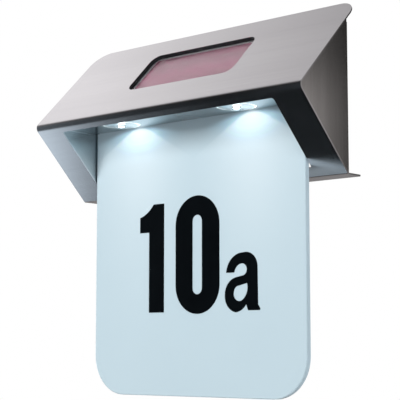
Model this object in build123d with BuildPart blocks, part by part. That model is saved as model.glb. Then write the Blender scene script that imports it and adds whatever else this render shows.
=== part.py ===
from build123d import *
from math import atan, degrees, sqrt
import os

os.makedirs("parts", exist_ok=True)

# Solar house number lamp, in millimetres. X runs along the roof and the wall is the
# plane Y = 0, so the lamp stands out towards -Y. Z is up from the line of the two
# wall screws. Both faces of the hood slope at 45 degrees.

root2 = sqrt(2)

# Hood: one folded sheet
roof_width = 200.0
roof_depth = 54.5  # wall to the corner that the front bend rounds
flange_depth = 12.5  # lower flange, from the wall to its fold
sheet = 0.8
bend_radius = 3.5
fold_radius = 1.8
roof_corner_radius = 12.0
flange_corner_radius = 1.5

# Window in the roof
window_width = 80.0
window_length = 35.0
window_radius = 6.0
window_from_bend = 24.5  # up the slope from the front bend's corner

# Cut-out in the apron, which the number panel hangs through
arm_width = 20.0  # left at each side
cutout_radius = 1.5
front_strip = 6.2  # left under the front bend
cutout_clearance = 1.6  # behind the panel

# Cheeks
cheek_inset = 7.5
cheek_step = 1.3  # upper rear edge, where nothing is folded, stops short of the wall
cheek_flange = 10.0
cheek_notch = 11.5  # top of the rear flange below the roof's rear edge
cheek_tab_width = 9.0
cheek_tab_length = 34.0
cheek_tab_from_edge = 24.0
cheek_end_gap = 0.3

# Light box: ceiling, inner walls and the upturned flange that carries the panel
ceiling_below_bend = 2.5  # ceiling's underside below the front bend's corner
box_bend_radius = 1.2
box_flange_inset = 6.0  # upturned flange's end from the inner wall
box_relief = 3.0  # notch at each end of the upturned flange
foot_gap = 1.4  # foot to cheek
foot_length = 32.0
foot_from_bend = 12.0
stud_radius = 1.25
stud_height = 8.0
stud_clearance = 0.1

# Number panel
panel_side_gap = 0.7
panel_rear_gap = 0.45  # panel to battery case
panel_thickness = 3.3
panel_drop = 214.2  # panel's lower edge below the roof's rear edge
panel_lap = 12.0  # panel's upper edge above the ceiling's underside
panel_corner_radius = 23.0
panel_top_radius = 1.0
panel_edge = 0.4
panel_screw_spacing = 120.0
panel_screw_drop = 6.0  # screws below the panel's upper edge
clamp_width = 24.0
clamp_height = 10.0
clamp_thickness = 1.0

# Characters, cut from film
film = 0.2
baseline_drop = 166.7  # below the roof's rear edge
one_left = -34.6
one_width = 11.8
one_height = 63.0
shoulder = 3.5
flag_reach = 7.4
flag_height = 9.0
flag_drop = 7.3
zero_left = -13.6
zero_width = 33.0
zero_height = 67.0
zero_radius = 16.4
zero_slot_width = 7.2
zero_stroke = 11.0  # above and below the slot
overshoot = 1.3  # round characters reach below the baseline
letter_left = 23.4
letter_height = 31.7

# Lamps
lens_spacing = 88.0
lens_hole_radius = 11.6
lens_clearance = 0.15
lens_rim = 1.2  # rim's width beyond the hole, and its thickness
lens_bulge = 0.5
reflector_height = 9.0
reflector_wall = 0.9
reflector_throat = 3.2
cup_bow = 1.5  # cup's wall bulges out from a straight cone
reflector_ear_gap = 0.95  # lens rim to stud
reflector_ear_radius = 3.2
led_radius = 2.5
led_flange = 0.4
led_flange_height = 1.0
led_length = 7.0
led_board_radius = 6.0
led_board_thickness = 1.2

# Solar module, glued under the window
gasket_margin = 3.5  # around the window
gasket_thickness = 1.6
pane_thickness = 1.0
cell_thickness = 0.3
cell_margin = 3.0
backing_thickness = 1.6

# Circuit board on the ceiling
board_width = 47.0
board_length = 20.0
board_thickness = 1.6
spacer_height = 3.0
spacer_wall = 1.2
board_stud_spacing = 40.0
small_nut_radius = 2.5  # across the corners, half
small_nut_height = 2.0

# Machine screws, three millimetres
screw_radius = 1.5
screw_clearance = 0.1
screw_head_radius = 2.75
screw_head_height = 2.0
nut_radius = 3.1
nut_height = 2.4
screw_tail = 0.6  # end of the screw beyond its nut

# Hang rail, hooked over the wall plate
rail_thickness = 1.0
rail_top = 7.0  # above the wall screws
rail_front_height = 11.0
rail_screw_gap = 0.6  # screw heads to the panel
rail_bend_radius = 1.6
lip_width = 16.0
lip_length = 8.0
lip_from_screw = 16.0  # lip's middle to the wall screw
rail_tab_height = 9.0
rail_tab_setback = 2.0

# Wall plate
plate_side_gap = 2.5  # to the cheeks' rear flanges
plate_thickness = 1.2
plate_above = 14.0  # above the wall screws
plate_below = 11.0
plate_radius = 4.0
wall_screw_inset = 10.0  # from the plate's end
wall_screw_radius = 2.5
hook_width = 20.0
hook_gap = 0.7  # on each side of the lip
hook_drop = 0.8  # under the lip
hook_bend_radius = 1.8
lance_gap = 0.5

# Battery case behind the panel, with its cell
cell_radius = 7.1
cell_length = 49.3
cap_radius = 2.8
cap_length = 1.2
cell_clearance = 0.15
case_wall = 1.1
case_rail_gap = 1.5  # under the rail
case_plate_gap = 0.45  # in front of the wall plate
case_above_panel = 3.5
case_room = 58.0  # inside, along the battery
lug_width = 10.0
lug_height = 10.5
lug_thickness = 2.2
lug_spacing = 36.0
lug_screw_height = 5.5
spring_wire_radius = 0.35
spring_turns = 3
spring_base_radius = 4.2
spring_tip_radius = 2.4
contact_thickness = 0.4
contact_size = 13.2

# Battery door under the case, hinged along its front edge
door_thickness = 1.5
door_clearance = 0.3
knuckle_radius = 1.7
knuckle_gap = 0.25
ear_width = 5.0
pin_radius = 0.8
pin_clearance = 0.05
hinge_drop = 1.3  # hinge axis below the case's underside
latch_height = 2.5
latch_thickness = 0.8
latch_width = 16.0
latch_gap = 1.0
grip_depth = 0.7
grip_count = 3
grip_pitch = 2.0

# Switch beside the battery
switch_length = 8.6
switch_width = 4.4
switch_height = 4.6
switch_wall = 1.0
switch_room = 0.3
switch_travel = 2.0
knob_length = 2.0
knob_width = 2.0
knob_reach = 3.0  # below the case
slider_foot = 1.3
knob_gap = 0.2
slider_clearance = 0.1
switch_pin_radius = 0.3
switch_pin_length = 2.4
switch_pin_pitch = 2.5

# Parts on the circuit board
chip_size = (6.2, 5.0, 1.6)
chip_x, coil_x, capacitor_x = -6.0, 2.0, 8.5
coil_radius, coil_height = 2.6, 3.4
capacitor_radius, capacitor_height = 2.5, 5.0

# Inner wiring, in pairs
lead_radius = 0.55
lead_pitch = 1.6
lead_bend = 2.0
lead_hole_clearance = 0.2
lead_setback = 1.5  # wire's centre in from a board's edge
lead_rise = 3.5
solar_lead_x = -12.0
led_lead_x = 14.0
battery_lead_x = 9.0
switch_lead_x = 20.5
lead_over_panel = 1.4

# Heights that follow from the sizes above, from the hang rail to the roof
rail_floor = rail_top - rail_thickness
case_top = rail_top - rail_front_height - case_rail_gap
panel_top = case_top - case_above_panel
ceiling_z = panel_top - panel_lap
ceiling_top = ceiling_z + sheet
bend_z = ceiling_z + ceiling_below_bend
roof_top = bend_z + roof_depth
flange_z = bend_z - (roof_depth - flange_depth)

# Widths, from the roof to the wall plate
wall_x = roof_width / 2 - arm_width
cheek_x = roof_width / 2 - cheek_inset
foot_width = cheek_x - wall_x - 2 * sheet - foot_gap
panel_width = 2 * (wall_x - panel_side_gap)
plate_width = 2 * (cheek_x - cheek_flange - plate_side_gap)
wall_screw_spacing = plate_width - 2 * wall_screw_inset
lip_spacing = wall_screw_spacing - 2 * lip_from_screw

# Depths, from the wall to the front
case_half = cell_radius + cell_clearance + case_wall
battery_y = -plate_thickness - case_plate_gap - case_half
case_front = battery_y - case_half
case_rear = battery_y + case_half
panel_rear = case_front - panel_rear_gap
panel_front = panel_rear - panel_thickness
rail_front = -panel_rear - rail_screw_gap - screw_head_height - lug_thickness
rail_lip = plate_thickness + hook_gap  # wall to the lip's rear face
hook_rear = rail_lip + rail_thickness + hook_gap
hook_floor = rail_floor - lip_length - hook_drop
ceiling_front = roof_depth - root2 * sheet - ceiling_below_bend  # where it meets the apron
lamp_y = (panel_front - ceiling_front) / 2

# Panel and lamps
panel_screw_z = panel_top - panel_screw_drop
baseline = roof_top - baseline_drop
lens_x = lens_spacing / 2
lens_rim_radius = lens_hole_radius + lens_rim
reflector_z = ceiling_top + lens_rim
reflector_ear_reach = lens_rim_radius + reflector_ear_gap + stud_radius
led_board_z = reflector_z + reflector_height
board_z = ceiling_top + spacer_height
board_top = board_z + board_thickness

# Solar module, by depth under the roof's outer face
module_width = window_width + 2 * gasket_margin
module_length = window_length + 2 * gasket_margin
module_middle = roof_depth * root2 - window_from_bend - window_length / 2
pane_depth = sheet + gasket_thickness
cell_depth = pane_depth + pane_thickness
backing_depth = cell_depth + cell_thickness
module_depth = backing_depth + backing_thickness

# Battery case, door and switch
battery_z = case_top - case_half
case_bottom = battery_z - cell_radius - 2 * cell_clearance - door_clearance
case_end = case_room / 2 + case_wall
hinge_y = case_front + knuckle_radius
hinge_z = case_bottom - hinge_drop
lug_z = case_top + lug_screw_height
switch_x = case_end + switch_wall + switch_room + switch_length / 2
switch_z = case_bottom + switch_wall
pocket_half = switch_width / 2 + switch_room + switch_wall
pocket_end = switch_x + switch_length / 2 + switch_room + switch_wall

# Wires
board_rear = lamp_y + board_length / 2 - lead_setback
led_lead_y = lamp_y + led_board_radius - lead_setback
led_lead_z = led_board_z + led_board_thickness + lead_radius
battery_lead_y = case_front + case_wall + lead_setback
battery_lead_z = panel_top + lead_over_panel


def finish(piece, name):
    """Label one finished piece and write its file."""
    piece.part.label = name
    export_step(piece.part, f"parts/{name}.step")


def on_slope(down, depth=0.0):
    """Plane on the roof: a distance down from its rear edge, a depth under its outer face."""
    y = (depth - down) / root2
    z = roof_top - (depth + down) / root2
    return Plane(origin=(0, y, z), x_dir=(1, 0, 0), z_dir=(0, -1, 1))


def on_apron(down, depth=0.0):
    """Plane on the apron: a distance down from the front bend's corner, a depth inside it."""
    y = -roof_depth + (down + depth) / root2
    z = bend_z - (down - depth) / root2
    return Plane(origin=(0, y, z), x_dir=(1, 0, 0), z_dir=(0, -1, -1))


def facing_front(stand_off, x=0.0, z=0.0):
    """Plane parallel to the wall at a distance in front of it, looking away from the wall."""
    return Plane(origin=(x, -stand_off, z), x_dir=(1, 0, 0), z_dir=(0, -1, 0))


def hood_path(inset, rear_top, rear_bottom):
    """Corners of the hood's section in Y and Z, moved in from its outer face by inset."""
    return [
        (rear_top, roof_top + rear_top - inset * root2),
        (-roof_depth + inset * root2, bend_z),
        (-flange_depth + inset * (root2 - 1), flange_z + inset),
        (rear_bottom, flange_z + inset),
    ]


def hood_radii(inset):
    """Radii of the front bend and the lower fold, moved in by inset."""
    return [bend_radius - inset, fold_radius - inset]


# Roof cover: slope, front bend, apron and lower flange
with BuildPart() as roof_cover:
    with BuildSketch(Plane.YZ):
        with BuildLine():
            outside = FilletPolyline(*hood_path(0, -sheet / root2, 0), radius=hood_radii(0))
            inside = FilletPolyline(*hood_path(sheet, 0, 0), radius=hood_radii(sheet))
            Line(outside @ 0, inside @ 0)
            Line(outside @ 1, inside @ 1)
        make_face()
    extrude(amount=roof_width / 2, both=True)
    rear_corners = edges().filter_by(Axis((0, 0, 0), (0, 1, -1))).group_by(Axis.Z)[-1]
    fillet(rear_corners, roof_corner_radius)
    flange_corners = edges().filter_by(Axis.Z).group_by(Axis.Y)[-1]
    fillet(flange_corners, flange_corner_radius)
    with BuildSketch(on_slope(module_middle)):
        RectangleRounded(window_width, window_length, window_radius)
    extrude(amount=-2 * sheet, mode=Mode.SUBTRACT)
    cutout_end = (roof_depth + panel_rear + cutout_clearance) * root2
    with BuildSketch(on_apron((front_strip + cutout_end) / 2)):
        RectangleRounded(2 * wall_x, cutout_end - front_strip, cutout_radius)
    extrude(amount=-2 * sheet, mode=Mode.SUBTRACT)
finish(roof_cover, "roof_cover")

# Cheeks: triangular side plates with a folded rear flange and a tab under the roof
with BuildPart() as cheek_right:
    with BuildSketch(Plane.YZ.offset(cheek_x)):
        with BuildLine():
            edge = FilletPolyline(
                *hood_path(sheet, -cheek_step, -cheek_step), radius=hood_radii(sheet)
            )
            Line(edge @ 0, edge @ 1)
        make_face()
    extrude(amount=-sheet)
    flange_foot = flange_z + sheet + cheek_end_gap
    with BuildSketch(Plane.XY.offset(flange_foot)):
        with BuildLine():
            FilletPolyline(
                (cheek_x, -2 * cheek_step),
                (cheek_x, 0),
                (cheek_x - cheek_flange, 0),
                (cheek_x - cheek_flange, -sheet),
                (cheek_x - sheet, -sheet),
                (cheek_x - sheet, -2 * cheek_step),
                radius=[0, cheek_step, 0, 0, cheek_step - sheet, 0],
                close=True,
            )
        make_face()
    extrude(amount=roof_top - cheek_notch - flange_foot)
    with BuildSketch(on_slope(cheek_tab_from_edge + cheek_tab_length / 2, sheet)):
        with Locations((cheek_x - cheek_tab_width / 2, 0)):
            Rectangle(cheek_tab_width, cheek_tab_length)
    extrude(amount=-sheet)
finish(cheek_right, "cheek_right")

with BuildPart() as cheek_left:
    mirror(cheek_right.part, about=Plane.YZ)
finish(cheek_left, "cheek_left")

# Light box: ceiling and inner walls folded from one sheet, cut off at the apron
with BuildPart() as light_box:
    with BuildSketch(facing_front(-panel_rear)):
        with BuildLine():
            outer = FilletPolyline(
                (-wall_x - sheet, flange_z),
                (-wall_x - sheet, ceiling_top),
                (wall_x + sheet, ceiling_top),
                (wall_x + sheet, flange_z),
                radius=box_bend_radius,
            )
            inner = FilletPolyline(
                (-wall_x, flange_z),
                (-wall_x, ceiling_z),
                (wall_x, ceiling_z),
                (wall_x, flange_z),
                radius=box_bend_radius - sheet,
            )
            Line(outer @ 0, inner @ 0)
            Line(outer @ 1, inner @ 1)
        make_face()
    extrude(amount=ceiling_front + panel_rear)
    split(bisect_by=on_apron(0, sheet), keep=Keep.BOTTOM)
    # the ceiling ends at the panel, and its edge is folded up between two notches
    notch_front = panel_front - sheet - box_relief
    box_flange_end = wall_x - box_flange_inset
    with BuildSketch(Plane.XY.offset(ceiling_z)):
        with Locations((0, (panel_front + panel_rear) / 2)):
            Rectangle(2 * wall_x, panel_thickness)
        with Locations((0, (notch_front + panel_rear) / 2)):
            Rectangle(2 * (box_flange_end + box_relief), panel_rear - notch_front)
    extrude(amount=sheet, mode=Mode.SUBTRACT)
    with BuildSketch(Plane.YZ):
        with BuildLine():
            FilletPolyline(
                (notch_front, ceiling_z),
                (panel_front, ceiling_z),
                (panel_front, panel_top),
                (panel_front - sheet, panel_top),
                (panel_front - sheet, ceiling_top),
                (notch_front, ceiling_top),
                radius=[0, box_bend_radius, 0, 0, box_bend_radius - sheet, 0],
                close=True,
            )
        make_face()
    extrude(amount=box_flange_end, both=True)
    with BuildSketch(on_apron(foot_from_bend + foot_length / 2, sheet)):
        for side in (-1, 1):
            with Locations((side * (wall_x + (sheet + foot_width) / 2), 0)):
                Rectangle(foot_width + sheet, foot_length)
    extrude(amount=-sheet)
    # lens holes, holes for the panel's screws, and welded studs
    with BuildSketch(Plane.XY.offset(ceiling_z)):
        with Locations((-lens_x, lamp_y), (lens_x, lamp_y)):
            Circle(lens_hole_radius)
    extrude(amount=sheet, mode=Mode.SUBTRACT)
    with BuildSketch(facing_front(-panel_front, z=panel_screw_z)):
        with GridLocations(panel_screw_spacing, 0, 2, 1):
            Circle(screw_radius + screw_clearance)
    extrude(amount=sheet, mode=Mode.SUBTRACT)
    with BuildSketch(Plane.XY.offset(ceiling_top)):
        with Locations((-lens_x, lamp_y), (lens_x, lamp_y)):
            with GridLocations(2 * reflector_ear_reach, 0, 2, 1):
                Circle(stud_radius)
        with Locations((0, lamp_y)):
            with GridLocations(board_stud_spacing, 0, 2, 1):
                Circle(stud_radius)
    extrude(amount=stud_height)
finish(light_box, "light_box")

# Number panel: satin acrylic sheet with round lower corners
with BuildPart() as house_panel:
    with BuildSketch(facing_front(-panel_front)):
        with BuildLine():
            FilletPolyline(
                (-panel_width / 2, roof_top - panel_drop),
                (panel_width / 2, roof_top - panel_drop),
                (panel_width / 2, panel_top),
                (-panel_width / 2, panel_top),
                radius=[panel_corner_radius, panel_corner_radius, panel_top_radius, panel_top_radius],
                close=True,
            )
        make_face()
        with Locations((0, panel_screw_z)):
            with GridLocations(panel_screw_spacing, 0, 2, 1):
                Circle(screw_radius + screw_clearance, mode=Mode.SUBTRACT)
    extrude(amount=-panel_thickness)
    front_face = faces().sort_by(Axis.Y)[0]
    chamfer(front_face.outer_wire().edges(), panel_edge)
finish(house_panel, "house_panel")

# Characters on the panel, in plain strokes
film_front = film - panel_front
with BuildPart() as digit_one:
    with BuildSketch(facing_front(film_front, x=one_left, z=baseline)):
        flag_top = one_height - flag_drop
        with BuildLine():
            Polyline(
                (shoulder, one_height),
                (one_width, one_height),
                (one_width, 0),
                (0, 0),
                (0, flag_top - flag_height),
                (-flag_reach, flag_top - flag_height),
                (-flag_reach, flag_top),
            )
            TangentArc((-flag_reach, flag_top), (shoulder, one_height), tangent=(4, 1))
        make_face()
    extrude(amount=-film)
finish(digit_one, "digit_one")

with BuildPart() as digit_zero:
    with BuildSketch(facing_front(film_front, x=zero_left, z=baseline - overshoot)):
        with Locations((zero_width / 2, zero_height / 2)):
            RectangleRounded(zero_width, zero_height, zero_radius)
            SlotOverall(
                zero_height - 2 * zero_stroke, zero_slot_width, rotation=90, mode=Mode.SUBTRACT
            )
    extrude(amount=-film)
finish(digit_zero, "digit_zero")

with BuildPart() as letter_a:
    with BuildSketch(facing_front(film_front, x=letter_left, z=baseline)):
        # drawn a hundred high, then scaled to the letter's height
        with BuildLine():
            Polyline((48, 11), (52, 0), (78, 0), (79, 2.5), (74, 10), (73, 76))
            ThreePointArc((73, 76), (65, 93.5), (42, 100))
            ThreePointArc((42, 100), (15.5, 90.5), (3, 66))
            Line((3, 66), (21.5, 66))
            ThreePointArc((21.5, 66), (26.5, 76), (38, 81))
            ThreePointArc((38, 81), (49.5, 71), (42, 60.5))
            Line((42, 60.5), (25, 57.5))
            ThreePointArc((25, 57.5), (7, 47), (0, 28))
            ThreePointArc((0, 28), (7, 6.5), (24.5, -3))
            ThreePointArc((24.5, -3), (39, 2), (48, 11))
        make_face()
        with BuildLine():
            ThreePointArc((50, 47), (48.5, 28.5), (38, 17.5))
            ThreePointArc((38, 17.5), (24, 19.5), (20.5, 33.5))
            ThreePointArc((20.5, 33.5), (24, 40), (32, 43))
            Line((32, 43), (50, 47))
        make_face(mode=Mode.SUBTRACT)
        scale(by=letter_height / 100)
    extrude(amount=-film)
finish(letter_a, "letter_a")

# What fastens the panel to the upturned flange: clamp plates, screws and nuts
clamp_rear = panel_rear + clamp_thickness
with BuildPart() as panel_clamps:
    with BuildSketch(facing_front(-panel_rear, z=panel_screw_z)):
        with GridLocations(panel_screw_spacing, 0, 2, 1):
            RectangleRounded(clamp_width, clamp_height, panel_top_radius)
            Circle(screw_radius + screw_clearance, mode=Mode.SUBTRACT)
    extrude(amount=-clamp_thickness)
finish(panel_clamps, "panel_clamps")

with BuildPart() as panel_screws:
    grip = clamp_thickness + panel_thickness + sheet
    for radius, length in (
        (screw_head_radius, -screw_head_height),
        (screw_radius, grip + nut_height + screw_tail),
    ):
        with BuildSketch(facing_front(-clamp_rear, z=panel_screw_z)):
            with GridLocations(panel_screw_spacing, 0, 2, 1):
                Circle(radius)
        extrude(amount=length)
finish(panel_screws, "panel_screws")

with BuildPart() as panel_nuts:
    with BuildSketch(facing_front(sheet - panel_front, z=panel_screw_z)):
        with GridLocations(panel_screw_spacing, 0, 2, 1):
            RegularPolygon(nut_radius, 6)
            Circle(screw_radius + screw_clearance, mode=Mode.SUBTRACT)
    extrude(amount=nut_height)
finish(panel_nuts, "panel_nuts")

# Two lamps over the ceiling, each a lens, a cup, a diode and its board
lens_edge = lens_hole_radius - lens_clearance
dome_height = sheet + lens_bulge - lens_clearance
dome_radius = (lens_edge**2 + dome_height**2) / (2 * dome_height)
dome_waist = dome_radius - sqrt(dome_radius**2 - lens_edge**2 / 4)
dome_tip = ceiling_z - lens_bulge
cup_mouth = lens_hole_radius - reflector_wall / 2
cup_waist = (cup_mouth + reflector_throat) / 2 + cup_bow
cup_middle = reflector_z + reflector_height / 2

for side, x in (("left", -lens_x), ("right", lens_x)):
    upright = facing_front(-lamp_y, x=x)
    lamp_axis = Axis((x, lamp_y, 0), (0, 0, 1))

    with BuildPart() as lens:
        with BuildSketch(upright):
            with BuildLine():
                Polyline(
                    (0, dome_tip),
                    (0, reflector_z),
                    (lens_rim_radius, reflector_z),
                    (lens_rim_radius, ceiling_top),
                    (lens_edge, ceiling_top),
                    (lens_edge, dome_tip + dome_height),
                )
                ThreePointArc(
                    (lens_edge, dome_tip + dome_height),
                    (lens_edge / 2, dome_tip + dome_waist),
                    (0, dome_tip),
                )
            make_face()
        revolve(axis=lamp_axis)
    finish(lens, f"lens_{side}")

    with BuildPart() as reflector:
        with BuildSketch(Plane.XY.offset(reflector_z)):
            with Locations((x, lamp_y)):
                Circle(lens_rim_radius)
                SlotCenterToCenter(2 * reflector_ear_reach, 2 * reflector_ear_radius)
                with GridLocations(2 * reflector_ear_reach, 0, 2, 1):
                    Circle(stud_radius + stud_clearance, mode=Mode.SUBTRACT)
        extrude(amount=reflector_wall)
        for wall, mode in ((reflector_wall, Mode.ADD), (0, Mode.SUBTRACT)):
            with BuildSketch(upright):
                with BuildLine():
                    Polyline(
                        (reflector_throat + wall, led_board_z),
                        (0, led_board_z),
                        (0, reflector_z),
                        (cup_mouth + wall, reflector_z),
                    )
                    ThreePointArc(
                        (cup_mouth + wall, reflector_z),
                        (cup_waist + wall, cup_middle),
                        (reflector_throat + wall, led_board_z),
                    )
                make_face()
            revolve(axis=lamp_axis, mode=mode)
    finish(reflector, f"reflector_{side}")

    with BuildPart() as led:
        led_tip = led_board_z - led_length
        with Locations((x, lamp_y, led_tip + led_radius)):
            Sphere(led_radius)
        with BuildSketch(Plane.XY.offset(led_tip + led_radius)):
            with Locations((x, lamp_y)):
                Circle(led_radius)
        extrude(amount=led_length - led_radius)
        with BuildSketch(Plane.XY.offset(led_board_z)):
            with Locations((x, lamp_y)):
                Circle(led_radius + led_flange)
        extrude(amount=-led_flange_height)
    finish(led, f"led_{side}")

    with BuildPart() as led_board:
        with BuildSketch(Plane.XY.offset(led_board_z)):
            with Locations((x, lamp_y)):
                Circle(led_board_radius)
        extrude(amount=led_board_thickness)
    finish(led_board, f"led_board_{side}")

with BuildPart() as reflector_nuts:
    with BuildSketch(Plane.XY.offset(reflector_z + reflector_wall)):
        with Locations((-lens_x, lamp_y), (lens_x, lamp_y)):
            with GridLocations(2 * reflector_ear_reach, 0, 2, 1):
                RegularPolygon(small_nut_radius, 6)
                Circle(stud_radius + stud_clearance, mode=Mode.SUBTRACT)
    extrude(amount=small_nut_height)
finish(reflector_nuts, "reflector_nuts")

# Solar module under the window, from the roof down: gasket, pane, cell, backing
with BuildPart() as window_gasket:
    with BuildSketch(on_slope(module_middle, sheet)):
        Rectangle(module_width, module_length)
        RectangleRounded(window_width, window_length, window_radius, mode=Mode.SUBTRACT)
    extrude(amount=-gasket_thickness)
finish(window_gasket, "window_gasket")

for name, depth, thickness, margin in (
    ("solar_pane", pane_depth, pane_thickness, 0),
    ("solar_cell", cell_depth, cell_thickness, cell_margin),
    ("solar_backing", backing_depth, backing_thickness, 0),
):
    with BuildPart() as layer:
        with BuildSketch(on_slope(module_middle, depth)):
            Rectangle(module_width - 2 * margin, module_length - 2 * margin)
        extrude(amount=-thickness)
    finish(layer, name)

# Circuit board on two studs, with its spacers, nuts and parts
for name, foot, outline, height in (
    ("board_spacers", ceiling_top, Circle(stud_radius + stud_clearance + spacer_wall), spacer_height),
    ("board_nuts", board_top, RegularPolygon(small_nut_radius, 6), small_nut_height),
):
    with BuildPart() as on_studs:
        with BuildSketch(Plane.XY.offset(foot)):
            with Locations((0, lamp_y)):
                with GridLocations(board_stud_spacing, 0, 2, 1):
                    add(outline)
                    Circle(stud_radius + stud_clearance, mode=Mode.SUBTRACT)
        extrude(amount=height)
    finish(on_studs, name)

with BuildPart() as circuit_board:
    with BuildSketch(Plane.XY.offset(board_z)):
        with Locations((0, lamp_y)):
            Rectangle(board_width, board_length)
            with GridLocations(board_stud_spacing, 0, 2, 1):
                Circle(stud_radius + stud_clearance, mode=Mode.SUBTRACT)
    extrude(amount=board_thickness)
finish(circuit_board, "circuit_board")

with BuildPart() as controller_chip:
    with Locations((chip_x, lamp_y, board_top)):
        Box(*chip_size, align=(Align.CENTER, Align.CENTER, Align.MIN))
finish(controller_chip, "controller_chip")

for name, x, radius, height in (
    ("choke_coil", coil_x, coil_radius, coil_height),
    ("capacitor", capacitor_x, capacitor_radius, capacitor_height),
):
    with BuildPart() as round_part:
        with Locations((x, lamp_y, board_top)):
            Cylinder(radius, height, align=(Align.CENTER, Align.CENTER, Align.MIN))
    finish(round_part, name)

# Hang rail: a channel between the cheeks, with two lips that drop behind the hooks
rail_half = cheek_x - sheet
with BuildPart() as hang_rail:
    lip_end = rail_floor - lip_length
    lip_front = -rail_lip - rail_thickness
    inside_bend = rail_bend_radius - rail_thickness
    with BuildSketch(Plane.YZ):
        with BuildLine():
            FilletPolyline(
                (-rail_front, rail_top - rail_front_height),
                (-rail_front, rail_top),
                (-rail_lip, rail_top),
                (-rail_lip, lip_end),
                (lip_front, lip_end),
                (lip_front, rail_floor),
                (-rail_front + rail_thickness, rail_floor),
                (-rail_front + rail_thickness, rail_top - rail_front_height),
                radius=[0, rail_bend_radius, rail_bend_radius, 0, 0, inside_bend, inside_bend, 0],
                close=True,
            )
        make_face()
    extrude(amount=rail_half, both=True)
    # the rear lip stays only where the hooks are
    lip_outer = (lip_spacing + lip_width) / 2
    with BuildSketch(Plane.XY.offset(rail_floor)):
        with Locations((0, lip_front)):
            Rectangle(2 * rail_half, 4 * rail_thickness)
            with GridLocations(lip_spacing, 0, 2, 1):
                Rectangle(lip_width, 4 * rail_thickness, mode=Mode.SUBTRACT)
    extrude(amount=-lip_length, mode=Mode.SUBTRACT)
    # tabs welded to the cheeks, and the holes for the battery case
    with BuildSketch(Plane.XY.offset(rail_floor)):
        with Locations((0, -(rail_front + rail_lip) / 2)):
            with GridLocations(2 * rail_half - rail_thickness, 0, 2, 1):
                Rectangle(rail_thickness, rail_front - rail_lip - 2 * rail_tab_setback)
    extrude(amount=rail_tab_height)
    with BuildSketch(facing_front(rail_front, z=lug_z)):
        with GridLocations(lug_spacing, 0, 2, 1):
            Circle(screw_radius + screw_clearance)
    extrude(amount=-rail_thickness, mode=Mode.SUBTRACT)
finish(hang_rail, "hang_rail")

# Wall plate: flat strip with two screw holes and two hooks lanced out of it
with BuildPart() as wall_plate:
    hook_front = hook_rear + plate_thickness
    hook_under = hook_floor - plate_thickness
    lance_height = hook_front - plate_thickness + rail_floor - hook_under
    with BuildSketch(facing_front(0)):
        with Locations((0, (plate_above - plate_below) / 2)):
            RectangleRounded(plate_width, plate_above + plate_below, plate_radius)
        with GridLocations(wall_screw_spacing, 0, 2, 1):
            Circle(wall_screw_radius, mode=Mode.SUBTRACT)
        with Locations((0, hook_under + lance_height / 2)):
            with GridLocations(lip_spacing, 0, 2, 1):
                Rectangle(hook_width + 2 * lance_gap, lance_height, mode=Mode.SUBTRACT)
    extrude(amount=plate_thickness)
    hook_inside = hook_bend_radius - plate_thickness
    for side in (-1, 1):
        with BuildSketch(Plane.YZ.offset(side * lip_spacing / 2)):
            with BuildLine():
                FilletPolyline(
                    (0, hook_under - plate_thickness),
                    (0, hook_floor),
                    (-hook_rear, hook_floor),
                    (-hook_rear, rail_floor),
                    (-hook_front, rail_floor),
                    (-hook_front, hook_under),
                    (-plate_thickness, hook_under),
                    (-plate_thickness, hook_under - plate_thickness),
                    radius=[0, hook_bend_radius, hook_inside, 0, 0, hook_bend_radius, hook_inside, 0],
                    close=True,
                )
            make_face()
        extrude(amount=hook_width / 2, both=True)
finish(wall_plate, "wall_plate")

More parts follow.
